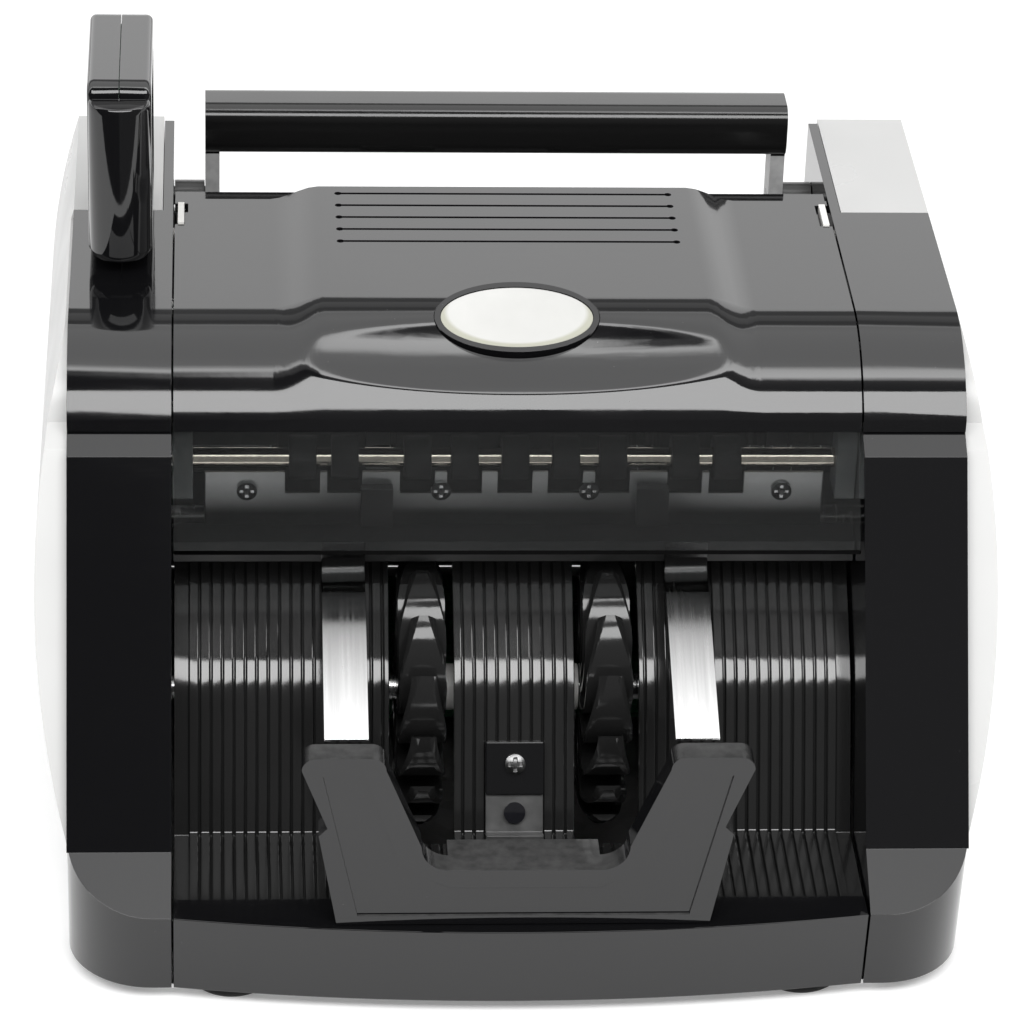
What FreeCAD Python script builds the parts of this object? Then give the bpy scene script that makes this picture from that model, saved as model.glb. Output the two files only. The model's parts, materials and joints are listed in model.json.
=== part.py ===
import FreeCAD
import Part
import math
import os
import re
import Sketcher

# Banknote counting machine, millimetres. X to the operator's right, front towards -Y, +Z up.
# The origin lies on the table under the middle of the machine.

# Driving sizes, one sheet cell each
SIZES = {
    # Shells
    "skin": 3, "fit": 0.2, "seam": 0.6, "cheek_wall": 3, "mask_depth": 4, "bay_half": 101.6,
    "cheek_width": 30.4,
    "panel_bulge": 9, "bulge_z": 92, "base_z": 5, "plate_thick": 1.5, "block_margin": 7, "corner_flat": 5.4,
    # Side profile of the front, from the front band up to the crown and back to the rear
    "lip_y": -122, "lip_z": 32, "bow": 8, "undercut": 4, "ledge_y": -104, "ledge_z": 43, "brow_y": -45,
    "brow_z": 141.7, "roll_y": -37, "roll_z": 146.5, "roll_step": 1.5, "roll_lip": 4, "crown_y": -5,
    "top_z": 170, "shade_y": 60, "rear_y": 128, "hopper_rear_z": 138,
    # Feet and bottom plate
    "plate_front": 116, "plate_corner": 24, "foot_radius": 9, "foot_x": 84, "foot_front_y": -104,
    "foot_rear_y": 108,
    # Tray, ribbed guide and stacker plate
    "tray_depth": 10, "guide_thick": 3, "guide_flat_y": -76.6, "guide_wall_y": -59.4, "guide_wall_z": 65.4,
    "guide_bulge_y": -54, "guide_bulge_z": 73.6, "guide_bend_y": -50.7, "guide_bend_z": 77.1,
    "guide_top_y": -26, "guide_top_z": 100, "rib_rise": 1.4,
    "rib_thick": 2.7, "rib_pitch": 3.4, "slot_half": 9.6, "stop_front_y": -126, "stop_thick": 8,
    "stop_shelf": 16, "stop_top_z": 89, "stop_lift": 0.4, "stop_shelf_z": 51, "stop_foot_half": 54,
    "stop_notch_half": 59.5, "stop_notch_drop": 26, "stop_step": 2.5, "stop_arm_out": 64.5,
    "stop_arm_in": 40.5,
    "stop_corner": 4, "stop_shelf_half": 22, "stop_round": 8, "stop_inset": 6, "stop_recess": 0.8,
    # Impeller wheels
    "wheel_y": -38, "wheel_z": 58.5, "wheel_x": 27.6, "wheel_radius": 42, "wheel_width": 14, "wheel_hub": 10,
    "blade_count": 14, "blade_thick": 1.8, "blade_sweep": 61.7, "blade_sink": 3, "belly_radius": 31,
    "belly_sweep": 26,
    "tip_depth": 9, "tip_shoulder": 5, "shoulder_drop": 3.4, "collar_radius": 7, "collar_length": 6,
    # Shafts and rollers of the note path
    "shaft_radius": 4, "shaft_fit": 0.02, "bearing_fit": 0.05, "bearing_radius": 8, "bearing_length": 5,
    "shaft_overhang": 2.2, "frame_thick": 2, "pinch_y": -25, "pinch_z": 130.5, "pinch_shaft": 3,
    "pinch_radius": 6.6,
    "pinch_width": 8, "nip_gap": 0.4, "feed_y": 4, "feed_z": 114, "pick_y": 84, "pick_radius": 20,
    "pick_proud": 1.5, "pick_x": 30, "pick_width": 20, "end_block": 6, "end_half": 6, "end_drop": 11,
    "end_rise": 5, "hole_room": 2.5, "feed_width": 70, "feed_side_x": 57, "feed_side_width": 26,
    "pinch_first_x": 15, "pinch_second_x": 29, "pinch_third_x": 50.5, "pinch_last_x": 63, "frame_front": 24,
    "frame_rear": 28, "frame_drop": 8, "frame_crest": 50, "frame_rise": 4, "rod_radius": 4, "rod_rear_y": 108,
    "rod_high_z": 111, "rod_low_z": 74.5, "rod_middle_y": 30, "rod_middle_z": 78.5,
    # Guide plate behind the visor and the bar under it
    "screen_y": -29, "screen_thick": 1.2, "screen_margin": 9.6, "screen_top_z": 128, "bar_y": -34,
    "bar_depth": 11,
    "bar_z": 103, "bar_height": 7, "screw_radius": 3, "screw_head": 1.1, "eye_width": 9.5, "eye_height": 13,
    "eye_depth": 3.4, "eye_x": 41, "eye_lift": 1, "screen_gap": 1.2, "screw_in_x": 22,
    "screw_drop": 6,
    # Note deflectors
    "strip_x": 51, "strip_width": 13, "strip_thick": 0.8, "strip_end_y": -97, "strip_end_z": 76.4,
    "strip_lip": 10, "strip_drop": 5, "strip_bend": 3, "strip_hold": 2,
    # Stacker sensor
    "sensor_half": 8.6, "sensor_foot": 5, "sensor_reach": 27, "sensor_thick": 1.6,
    "eye_radius": 3.2,
    # Hopper
    "bed_front_y": 27, "bed_front_z": 139, "bed_rear_z": 143, "bed_thick": 2.5, "retard_y": 8,
    "retard_depth": 12, "retard_z": 152, "retard_height": 8, "retard_half": 14, "retard_gap": 1.5,
    # Drive
    "motor_y": 70, "motor_z": 50, "motor_radius": 22, "motor_length": 64, "motor_shaft": 3, "pulley_gap": 1.2,
    "pulley_width": 6, "pulley_flange": 1.5, "flange_thick": 0.8, "motor_pulley": 8, "feed_pulley": 16,
    "wheel_pulley": 20, "pick_pulley": 14, "belt_thick": 1.4, "belt_gap": 0.15,
    # Electrics
    "board_x": -34, "board_y": 20, "board_z": 11, "board_width": 94, "board_depth": 86, "board_thick": 1.6,
    "post_radius": 3, "post_inset": 4, "core_gap": 3.6, "core_y": 50, "core_width": 46, "core_depth": 16,
    "core_height": 44, "coil_inset": 4, "coil_depth": 36, "coil_lift": 8, "inlet_x": -65, "inlet_z": 34,
    "inlet_width": 27, "inlet_height": 20, "inlet_depth": 20, "inlet_rim": 2, "pin_pitch": 7, "pin_offset": 2,
    "pin_thick": 2, "pin_width": 5, "pin_setback": 3, "rocker_x": -30, "rocker_z": 34, "rocker_width": 12,
    "rocker_height": 20, "rocker_room": 0.5, "rocker_wall": 2, "rocker_pin": 1.5, "rocker_depth": 14,
    "rocker_sink": 3, "rocker_tip": 2, "rocker_dip": 1, "rocker_belly": 7, "rocker_clear": 1, "vent_x": 40,
    "vent_width": 3, "vent_height": 34, "vent_pitch": 7, "vent_count": 8,
    # Top cover, visor and badge
    "cover_rear": 68, "lip_rear": 76, "lip_drop": 1.5, "plateau_rise": 4, "plateau_half": 64.5,
    "plateau_slope": 7.5,
    "plateau_rear": 69, "louvre_half": 51, "louvre_width": 1.2, "louvre_dot": 1.1, "louvre_depth": 1.2,
    "louvre_pitch": 8.2,
    "louvre_rear_y": 64, "louvre_count": 5, "dish_at": 36.5, "dish_depth": 4.5, "dish_long": 170,
    "dish_wide": 49,
    "dish_deep": 40, "badge_half": 22.5, "badge_reach": 10.6, "badge_y": -12.5, "badge_z": 168.6,
    "badge_tilt": 28,
    "badge_height": 7.5, "badge_rim": 1.9, "badge_recess": 1.2, "badge_sink": 0.3, "hinge_y": 57.5,
    "hinge_z": 163,
    "hinge_pin": 2, "hinge_lug": 7, "lug_length": 5, "ear_inset": 3.4, "ear_thick": 1.9, "ear_proud": 0.6,
    "ear_slot": 1.2, "visor_setback": 5, "visor_thick": 2.4, "visor_z": 115, "visor_gap": 0.2,
    # Carry handle
    "grip_gap": 9.8, "grip_y": 100, "grip_depth": 18, "grip_z": 169, "grip_height": 16.7, "grip_round": 5,
    "arm_thick": 4.5, "arm_half": 6, "pivot_y": 109, "pivot_z": 151.3, "pivot_radius": 3, "pivot_shoulder": 5,
    # Display pod
    "pod_shift": 0.2, "pod_thick": 19, "pod_front_y": 20, "pod_depth": 56, "pod_z": 174, "pod_height": 56,
    "pod_round": 5, "pod_wall": 2, "pod_edge": 2, "pod_axis_y": 69, "neck_radius": 6, "neck_flange": 8.5,
    "neck_flange_thick": 1.4, "window_margin": 7,
}

# Sizes that follow others, one formula cell each
TIES = {
    "cheek_half": "bay_half + cheek_width", "corner_radius": "cheek_width - corner_flat",
    "block_back": "lip_y + undercut + corner_radius + block_margin",
    "frame_x": "bay_half + cheek_wall + fit", "shaft_reach": "frame_x + bearing_length + shaft_overhang",
    "pulley_x": "frame_x + bearing_length + pulley_gap", "screen_half": "bay_half - screen_margin",
    "screw_out_x": "(pinch_last_x + pinch_width / 2 + screen_half) / 2", "core_x": "core_gap - bay_half",
    "ear_x": "bay_half - ear_inset", "grip_half": "bay_half - grip_gap",
    "pod_x": "-bay_half - cheek_width / 2 - pod_shift",
}

doc = FreeCAD.newDocument("banknote_counter")
sheet = doc.addObject("Spreadsheet::Sheet", "dims")
FORMULAS = {alias: f"={text}" for alias, text in TIES.items()}
for row, (alias, size) in enumerate({**SIZES, **FORMULAS}.items(), start=1):
    sheet.set(f"A{row}", alias)
    sheet.set(f"B{row}", str(size))
    sheet.setAlias(f"B{row}", alias)
doc.recompute()

FUNCTIONS = {"sin", "cos", "tan", "sqrt", "floor"}
TURN = {
    "YZ": FreeCAD.Rotation(90, 0, 90),
    "XZ": FreeCAD.Rotation(0, 0, 90),
    "XY": FreeCAD.Rotation(0, 0, 0),
}
OUTWARD = {
    "YZ": (FreeCAD.Vector(1, 0, 0), "x"),
    "XZ": (FreeCAD.Vector(0, 1, 0), "y"),
    "XY": (FreeCAD.Vector(0, 0, 1), "z"),
}
NODES = {}


def bind(text):
    """Point each size's name in an expression at its cell."""
    def cell(word):
        return word.group() if word.group() in FUNCTIONS else "dims." + word.group()

    return re.sub(r"[a-z][a-z_]*", cell, str(text))


def value(text):
    return float(sheet.evalExpression(bind(text)))


def drive(item, **properties):
    """Bind properties, written with __ for a dot, to expressions."""
    for name, text in properties.items():
        item.setExpression(name.replace("__", "."), bind(text))
    return item


def pin_point(sketch, geometry, end, x, y):
    """Hold one point of a sketch at bound coordinates."""
    for kind, text in (("DistanceX", x), ("DistanceY", y)):
        number = sketch.addConstraint(Sketcher.Constraint(kind, -1, 1, geometry, end, value(text)))
        sketch.setExpression(f"Constraints[{number}]", bind(text))


def draw(sketch, outline):
    """Close an outline of (x, y) corners; ("via", x, y) between two corners makes an arc through it."""
    corners = [point for point in outline if point[0] != "via"]
    bends = {}
    count = 0
    for point in outline:
        if point[0] == "via":
            bends[count - 1] = point[1:]
        else:
            count += 1
    spots = [FreeCAD.Vector(value(x), value(y), 0) for x, y in corners]
    for index, (x, y) in enumerate(corners):
        start = spots[index]
        end = spots[(index + 1) % count]
        if index not in bends:
            line = sketch.addGeometry(Part.LineSegment(start, end))
            pin_point(sketch, line, 1, x, y)
            pin_point(sketch, line, 2, *corners[(index + 1) % count])
            continue
        middle = FreeCAD.Vector(value(bends[index][0]), value(bends[index][1]), 0)
        arc = sketch.addGeometry(Part.ArcOfCircle(start, middle, end))
        first = sketch.getPoint(arc, 1).distanceToPoint(start) < sketch.getPoint(arc,
                                                                                 2).distanceToPoint(start)
        pin_point(sketch, arc, 1 if first else 2, x, y)
        pin_point(sketch, arc, 2 if first else 1, *corners[(index + 1) % count])
        marker = sketch.addGeometry(Part.Point(middle), True)
        pin_point(sketch, marker, 1, *bends[index])
        sketch.addConstraint(Sketcher.Constraint("PointOnObject", marker, 1, arc))


def ring(sketch, x, y, radius):
    """Add a bound circle to a sketch."""
    centre = FreeCAD.Vector(value(x), value(y), 0)
    circle = sketch.addGeometry(Part.Circle(centre, FreeCAD.Vector(0, 0, 1), value(radius)))
    pin_point(sketch, circle, 3, x, y)
    number = sketch.addConstraint(Sketcher.Constraint("Radius", circle, value(radius)))
    sketch.setExpression(f"Constraints[{number}]", bind(radius))


def flat(plane, outline, start, holes=()):
    """A sketch on a plane that stands at the bound distance start from the origin."""
    sketch = doc.addObject("Sketcher::SketchObject", "sketch")
    sketch.Placement = FreeCAD.Placement(FreeCAD.Vector(), TURN[plane])
    sketch.setExpression(f"Placement.Base.{OUTWARD[plane][1]}", bind(start))
    if outline:
        draw(sketch, outline)
    for hole in holes:
        ring(sketch, *hole)
    return sketch


def prism(plane, outline, start, length, holes=()):
    """Extrude an outline from start, along the plane's axis."""
    solid = doc.addObject("Part::Extrusion", "prism")
    solid.Base = flat(plane, outline, start, holes)
    solid.DirMode = "Custom"
    solid.Dir = OUTWARD[plane][0]
    solid.Solid = True
    solid.FaceMakerClass = "Part::FaceMakerBullseye"
    return drive(solid, LengthFwd=length)


def box(x, y, z, width, depth, height):
    solid = doc.addObject("Part::Box", "box")
    return drive(solid, Length=width, Width=depth, Height=height,
                 Placement__Base__x=x, Placement__Base__y=y, Placement__Base__z=z)


def rod(x, length, y, z, radius):
    """A cylinder along X."""
    solid = doc.addObject("Part::Cylinder", "rod")
    solid.Placement = FreeCAD.Placement(FreeCAD.Vector(), FreeCAD.Rotation(FreeCAD.Vector(0, 1, 0), 90))
    return drive(solid, Radius=radius, Height=length,
                 Placement__Base__x=x, Placement__Base__y=y, Placement__Base__z=z)


def post(x, y, z, height, radius):
    """A cylinder along Z."""
    solid = doc.addObject("Part::Cylinder", "post")
    return drive(solid, Radius=radius, Height=height,
                 Placement__Base__x=x, Placement__Base__y=y, Placement__Base__z=z)


def stud(x, y, length, z, radius):
    """A cylinder along Y, starting at y."""
    solid = doc.addObject("Part::Cylinder", "stud")
    solid.Placement = FreeCAD.Placement(FreeCAD.Vector(), FreeCAD.Rotation(FreeCAD.Vector(1, 0, 0), -90))
    return drive(solid, Radius=radius, Height=length,
                 Placement__Base__x=x, Placement__Base__y=y, Placement__Base__z=z)


def fuse(*solids):
    joined = doc.addObject("Part::MultiFuse", "fuse")
    joined.Shapes = list(solids)
    joined.Refine = True
    return joined


def common(*solids):
    shared = doc.addObject("Part::MultiCommon", "common")
    shared.Shapes = list(solids)
    return shared


def group(*solids):
    """Several separate solids in one node."""
    bunch = doc.addObject("Part::Compound", "group")
    bunch.Links = list(solids)
    return bunch


def cut(base, *tools):
    rest = doc.addObject("Part::Cut", "cut")
    rest.Base = base
    rest.Tool = tools[0] if len(tools) == 1 else group(*tools)
    rest.Refine = True
    return rest


def mirror(solid):
    """The same piece on the other side of the machine."""
    other = doc.addObject("Part::Mirroring", "mirror")
    other.Source = solid
    other.Normal = FreeCAD.Vector(1, 0, 0)
    return other


def both_sides(solid):
    return group(solid, mirror(solid))


def rounded(solid, radius, wanted):
    """Fillet the edges whose middle point passes the test wanted."""
    doc.recompute()
    numbers = []
    for number, edge in enumerate(solid.Shape.Edges, start=1):
        middle = edge.valueAt((edge.FirstParameter + edge.LastParameter) / 2)
        if wanted(middle):
            numbers.append(number)
    smooth = doc.addObject("Part::Fillet", "fillet")
    smooth.Base = solid
    smooth.Edges = [(number, value(radius), value(radius)) for number in numbers]
    return smooth


def near(a, text):
    return abs(a - value(text)) < 0.01


def node(label, solid):
    solid.Label = label
    NODES[label] = solid
    return solid


# Outlines that several pieces share

ROLL_REACH = "(crown_y - roll_y + roll_step)"


def roll_chord(reach, drop):
    return f"sqrt({reach}^2 + {drop}^2)"


def roll_curve(reach, drop, top):
    """Middle of the arc that leaves the crown level and ends at this reach and drop from it."""
    chord = roll_chord(reach, drop)
    return ("via", f"crown_y - {chord} / 2", f"{top} - {chord} * ({chord} - {reach}) / (2 * {drop})")


def roll_front(top):
    """The front from under the lip up to the crown, at the height top."""
    lip = "roll_y - roll_step"
    return [("roll_y", "roll_z"), (lip, "roll_z"), (lip, "roll_z + roll_lip"),
            roll_curve(ROLL_REACH, f"({top} - roll_z - roll_lip)", top), ("crown_y", top)]


ROLL_OUT = roll_front("top_z")
ROLL_BACK = [("crown_y", "top_z - skin"),
             roll_curve("(crown_y - roll_y - mask_depth)", "(top_z - skin - roll_z)", "top_z - skin"),
             ("roll_y + mask_depth", "roll_z")]
PANEL_ROLL = [("roll_y + mask_depth + fit", "roll_z"),
              roll_curve("(crown_y - roll_y - mask_depth - fit)", "(top_z - skin - fit - roll_z)",
                         "top_z - skin - fit"),
              ("crown_y", "top_z - skin - fit")]
WALL_REAR = "rear_y - skin - fit"
PANEL_INNER = "cheek_half - skin - fit"
CENTRE_HALF = "bay_half - seam"
FEED_RADIUS = "sqrt((feed_y - pinch_y)^2 + (feed_z - pinch_z)^2) - pinch_radius - nip_gap"
BED_REAR = "rear_y - skin - fit"
PICK_Z = (f"(bed_front_z + (pick_y - bed_front_y) * (bed_rear_z - bed_front_z) / ({BED_REAR} - bed_front_y)"
          " + pick_proud - pick_radius)")
SHAFTS = {"impeller": ("wheel_y", "wheel_z"), "feed": ("feed_y", "feed_z"), "pickup": ("pick_y", PICK_Z)}
PINCH_PLACES = ["0"] + [f"{side}pinch_{which}_x" for which in ("first", "second", "third", "last")
                        for side in ("", "-")]
# Depth of a round corner's middle point below the square corner, as a share of its radius
CORNER = f"{1 - math.sqrt(0.5):.4f}"


def shell_pieces():
    """Black cheeks, white side panels, rear cover, bottom plate and feet."""
    wall = prism("YZ", [("lip_y + undercut", "base_z"), ("lip_y", "lip_z"), ("ledge_y", "ledge_z"),
                        ("brow_y", "brow_z")] + ROLL_OUT + [(WALL_REAR, "top_z"), (WALL_REAR, "base_z")],
                 "bay_half", "cheek_wall")
    block = prism("YZ", [("lip_y + undercut", "base_z"), ("lip_y", "lip_z"), ("ledge_y", "ledge_z"),
                         ("block_back", "ledge_z"), ("block_back", "base_z")],
                  "bay_half", "cheek_half - bay_half")
    block = rounded(block, "corner_radius", lambda p: near(p.x,
                                                           "cheek_half") and p.y < value("lip_y + undercut")
                    and value("base_z") < p.z < value("lip_z"))
    mask = prism("YZ", [("ledge_y", "ledge_z"), ("brow_y", "brow_z")] + ROLL_OUT
                 + [("shade_y", "top_z"), ("shade_y", "top_z - skin")] + ROLL_BACK
                 + [("brow_y + mask_depth", "brow_z"), ("ledge_y + mask_depth", "ledge_z")],
                 "bay_half", "cheek_half - bay_half")
    bores = [rod("bay_half - skin", "cheek_wall + 2 * skin", y, z, "shaft_radius + hole_room")
             for y, z in SHAFTS.values()]
    bores.append(rod("bay_half - skin", "cheek_wall + 2 * skin", "motor_y", "motor_z",
                     "motor_shaft + hole_room"))
    bores.append(rod("bay_half - skin", "cheek_wall + 2 * skin", "hinge_y", "hinge_z",
                     "hinge_pin + bearing_fit"))
    bores.append(rod("bay_half - skin", "cheek_wall + 2 * skin", "pivot_y", "pivot_z",
                     "pivot_radius + bearing_fit"))
    cheek = cut(fuse(wall, block, mask), *bores)
    node("right_cheek", cheek)
    node("left_cheek", mirror(cheek))

    section = prism("XZ", [("cheek_half - skin", "base_z"), ("cheek_half", "base_z"), ("cheek_half",
                                                                                       "ledge_z"),
                           ("via", "cheek_half + panel_bulge", "bulge_z"), ("cheek_half", "top_z"),
                           ("cheek_half - skin", "top_z")],
                    "ledge_y", "rear_y - ledge_y")
    side = prism("YZ", [("block_back + fit", "base_z"), ("block_back + fit", "ledge_z + fit"),
                        ("ledge_y + mask_depth + fit", "ledge_z + fit"), ("brow_y + mask_depth + fit",
                                                                          "brow_z")]
                 + PANEL_ROLL + [("shade_y + fit", "top_z - skin - fit"), ("shade_y + fit", "top_z"),
                                 ("rear_y", "top_z"), ("rear_y", "base_z")],
                 "bay_half", "cheek_half + panel_bulge - bay_half + skin")
    hollow_section = prism("XZ", [("cheek_half - 2 * skin", "ledge_z + skin"),
                                  ("cheek_half - skin", "ledge_z + skin"),
                                  ("via", "cheek_half + panel_bulge - skin", "bulge_z"),
                                  ("cheek_half - skin", "top_z - 2 * skin"),
                                  ("cheek_half - 2 * skin", "top_z - 2 * skin")],
                           "ledge_y", "rear_y - ledge_y - skin")
    hollow_side = prism("YZ", [("ledge_y + mask_depth + 3 * skin", "ledge_z + skin"),
                               ("brow_y + mask_depth + 2 * skin", "brow_z"), ("crown_y + skin",
                                                                              "top_z - 2 * skin"),
                               ("rear_y - skin", "top_z - 2 * skin"), ("rear_y - skin", "ledge_z + skin")],
                        "bay_half", "cheek_half + panel_bulge - bay_half + skin")
    flange = box("frame_x", "shade_y + fit", "top_z - skin", "cheek_half - skin / 2 - frame_x",
                 "rear_y - shade_y - fit", "skin")
    panel = fuse(cut(common(section, side), common(hollow_section, hollow_side)), flange)
    node("right_side_panel", panel)
    neck_hole = post("pod_x", "pod_axis_y", "top_z - 2 * skin", "3 * skin", "neck_radius + bearing_fit")
    node("left_side_panel", cut(mirror(panel), neck_hole))

    rear = prism("XZ", [(f"-({PANEL_INNER})", "base_z"), (PANEL_INNER, "base_z"),
                        (PANEL_INNER, "top_z - skin - fit"), ("frame_x", "top_z - skin - fit"),
                        ("frame_x", "hopper_rear_z"), ("-frame_x", "hopper_rear_z"),
                        ("-frame_x", "top_z - skin - fit"), (f"-({PANEL_INNER})", "top_z - skin - fit")],
                 "rear_y - skin", "skin")
    vents = [box(f"vent_x + {index} * vent_pitch", "rear_y - 2 * skin", "wheel_z - vent_height / 2",
                 "vent_width",
                 "3 * skin", "vent_height") for index in range(SIZES["vent_count"])]
    inlet_hole = box("inlet_x - inlet_width / 2 - fit", "rear_y - 2 * skin",
                     "inlet_z - inlet_height / 2 - fit", "inlet_width + 2 * fit", "3 * skin",
                     "inlet_height + 2 * fit")
    half_wide = "(rocker_width / 2 + rocker_room + rocker_wall + fit)"
    half_tall = "(rocker_height / 2 + rocker_room + rocker_wall + fit)"
    rocker_hole = box(f"rocker_x - {half_wide}", "rear_y - 2 * skin", f"rocker_z - {half_tall}",
                      f"2 * {half_wide}",
                      "3 * skin", f"2 * {half_tall}")
    node("rear_cover", cut(rear, inlet_hole, rocker_hole, *vents))

    plate = prism("XY", [(f"-({PANEL_INNER})", "plate_corner - plate_front"),
                         ("-(cheek_half - skin - plate_corner)", "-plate_front"),
                         ("cheek_half - skin - plate_corner", "-plate_front"),
                         (PANEL_INNER, "plate_corner - plate_front"), (PANEL_INNER, "rear_y - skin"),
                         (f"-({PANEL_INNER})", "rear_y - skin")],
                  "base_z - plate_thick", "plate_thick")
    standoffs = [post(x, y, "base_z - plate_thick", "board_z - base_z + plate_thick", "post_radius")
                 for x in ("board_x + post_inset", "board_x + board_width - post_inset")
                 for y in ("board_y + post_inset", "board_y + board_depth - post_inset")]
    node("bottom_plate", fuse(plate, *standoffs))
    front = post("foot_x", "foot_front_y", 0, "base_z - plate_thick", "foot_radius")
    back = post("foot_x", "foot_rear_y", 0, "base_z - plate_thick", "foot_radius")
    node("feet", group(front, mirror(front), back, mirror(back)))


def stacker_pieces():
    """Front tray, ribbed guide, sliding stacker plate, note deflectors and stacker sensor."""
    def plan(z, back):
        shift = "undercut" if z == "base_z" else "0"
        return flat("XY", [(f"-({CENTRE_HALF})", f"lip_y + {shift}"), ("via", "0", f"lip_y - bow + {shift}"),
                           (CENTRE_HALF, f"lip_y + {shift}"), (CENTRE_HALF, back), (f"-({CENTRE_HALF})",
                                                                                    back)], z)

    band = doc.addObject("Part::Loft", "band")
    band.Sections = [plan("base_z", "lip_y + tray_depth"), plan("lip_z", "lip_y + tray_depth")]
    band.Solid = True
    band.Ruled = True
    hollow = box(f"-({CENTRE_HALF}) + skin", "lip_y + undercut", "base_z - skin",
                 f"2 * ({CENTRE_HALF} - skin)",
                 "tray_depth", "lip_z - base_z")
    node("front_tray", cut(band, hollow))

    crest = "lip_z - stop_lift"
    floor = f"{crest} - rib_rise"
    guide = doc.addObject("PartDesign::Body", "guide")

    def guide_sketch(plane, outline, start):
        sketch = guide.newObject("Sketcher::SketchObject", "guide_sketch")
        origin = [item for item in guide.Origin.OriginFeatures if item.Role == plane][0]
        sketch.AttachmentSupport = [(origin, "")]
        sketch.MapMode = "FlatFace"
        sketch.setExpression("AttachmentOffset.Base.z", bind(start))
        draw(sketch, outline)
        return sketch

    front = "lip_y + tray_depth + fit"

    def guide_line(back, floor_z):
        """Floor, wall, bulge before the wheel shaft and rising top of the guide, moved back from the crests."""
        return [(front, floor_z), (f"guide_flat_y + ({back}) / 2", floor_z),
                (f"guide_wall_y + {back}", "guide_wall_z"),
                ("via", f"guide_bulge_y + {back}", "guide_bulge_z"),
                (f"guide_bend_y + {back}", "guide_bend_z"), (f"guide_top_y + {back}", "guide_top_z")]

    upper = guide_line("rib_rise", floor)
    lower = guide_line("rib_rise + guide_thick", f"{floor} - guide_thick")
    plate = guide.newObject("PartDesign::Pad", "guide_plate")
    plate.Profile = guide_sketch("YZ_Plane", upper + lower[::-1], f"-({CENTRE_HALF})")
    drive(plate, Length=f"2 * ({CENTRE_HALF})")
    rib_line = guide_line("0", crest)
    rib_base = guide_line("2 * rib_rise", f"{floor} - rib_rise / 2")
    rib = guide.newObject("PartDesign::Pad", "guide_rib")
    first_rib = f"-rib_pitch * floor(({CENTRE_HALF} - rib_thick) / rib_pitch) - rib_thick / 2"
    rib.Profile = guide_sketch("YZ_Plane", rib_line + rib_base[::-1], first_rib)
    drive(rib, Length="rib_thick")
    doc.recompute()
    ribs = guide.newObject("PartDesign::LinearPattern", "guide_ribs")
    ribs.Originals = [rib]
    along_x = [item for item in guide.Origin.OriginFeatures if item.Role == "X_Axis"][0]
    ribs.Direction = (along_x, [""])
    drive(ribs, Length=f"2 * rib_pitch * floor(({CENTRE_HALF} - rib_thick) / rib_pitch)",
          Occurrences=f"2 * floor(({CENTRE_HALF} - rib_thick) / rib_pitch) + 1")
    guide.Tip = ribs
    doc.recompute()
    slot = box("wheel_x - slot_half", "wheel_y - wheel_radius - skin", "base_z", "2 * slot_half",
               "2 * wheel_radius", "top_z")
    node("stacker_guide", cut(guide, slot, mirror(slot)))

    low = "lip_z + stop_lift"
    rim = "stop_top_z"
    right = [("stop_foot_half", low), ("stop_notch_half", f"{rim} - stop_notch_drop"),
             ("stop_notch_half - stop_step", f"{rim} - stop_notch_drop + stop_step"),
             ("stop_arm_out", f"{rim} - stop_corner"),
             ("via", f"stop_arm_out - {CORNER} * stop_corner", f"{rim} - {CORNER} * stop_corner"),
             ("stop_arm_out - stop_corner", rim), ("stop_arm_in + stop_corner", rim),
             ("via", f"stop_arm_in + {CORNER} * stop_corner", f"{rim} - {CORNER} * stop_corner"),
             ("stop_arm_in", f"{rim} - stop_corner"), ("stop_shelf_half + stop_round",
                                                       "stop_shelf_z + stop_round"),
             ("via", f"stop_shelf_half + (1 - {CORNER}) * stop_round",
              f"stop_shelf_z + {CORNER} * stop_round"),
             ("stop_shelf_half", "stop_shelf_z")]
    left = [("via", f"-({point[1]})", point[2]) if point[0] == "via" else (f"-({point[0]})", point[1])
            for point in reversed(right)]
    yoke = prism("XZ", right + left, "stop_front_y", "stop_thick")
    low_edge = f"{low} + skin"
    dent_right = [("stop_foot_half - stop_inset", low_edge), ("stop_arm_out - stop_inset",
                                                              f"{rim} - stop_inset"),
                  ("stop_arm_in + stop_inset", f"{rim} - stop_inset"),
                  ("stop_shelf_half + stop_round + stop_inset", "stop_shelf_z + stop_round - stop_inset"),
                  ("stop_shelf_half", "stop_shelf_z - stop_inset")]
    dent_left = [(f"-({x})", z) for x, z in reversed(dent_right)]
    dent = prism("XZ", dent_right + dent_left, "stop_front_y - stop_thick", "stop_thick + stop_recess")
    shelf = box("-stop_shelf_half", "stop_front_y + stop_thick - fit", low_edge, "2 * stop_shelf_half",
                "stop_shelf - stop_thick + fit", f"stop_shelf_z - ({low_edge})")
    node("stacker_plate", fuse(cut(yoke, dent), shelf))

    def strip(side):
        top_y, top_z = "bar_y - bar_depth / 2 - fit", "bar_z + bar_height"
        lip_y, lip_z = f"{top_y} - strip_lip", "bar_z - strip_drop"
        bend_y, bend_z = f"{top_y} - strip_bend", "bar_z - strip_bend"
        outline = [(top_y, top_z), (top_y, "bar_z + strip_hold"), ("via", bend_y, bend_z), (lip_y, lip_z),
                   ("strip_end_y", "strip_end_z"), ("strip_end_y", "strip_end_z + strip_thick"),
                   (lip_y, f"{lip_z} + strip_thick"),
                   ("via", f"{bend_y} - strip_thick / 2", f"{bend_z} + strip_thick"),
                   (f"{top_y} - strip_thick", "bar_z + strip_hold"), (f"{top_y} - strip_thick", top_z)]
        return prism("YZ", outline, f"{side} * strip_x - strip_width / 2", "strip_width")

    node("note_deflectors", group(strip(-1), strip(1)))

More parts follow.
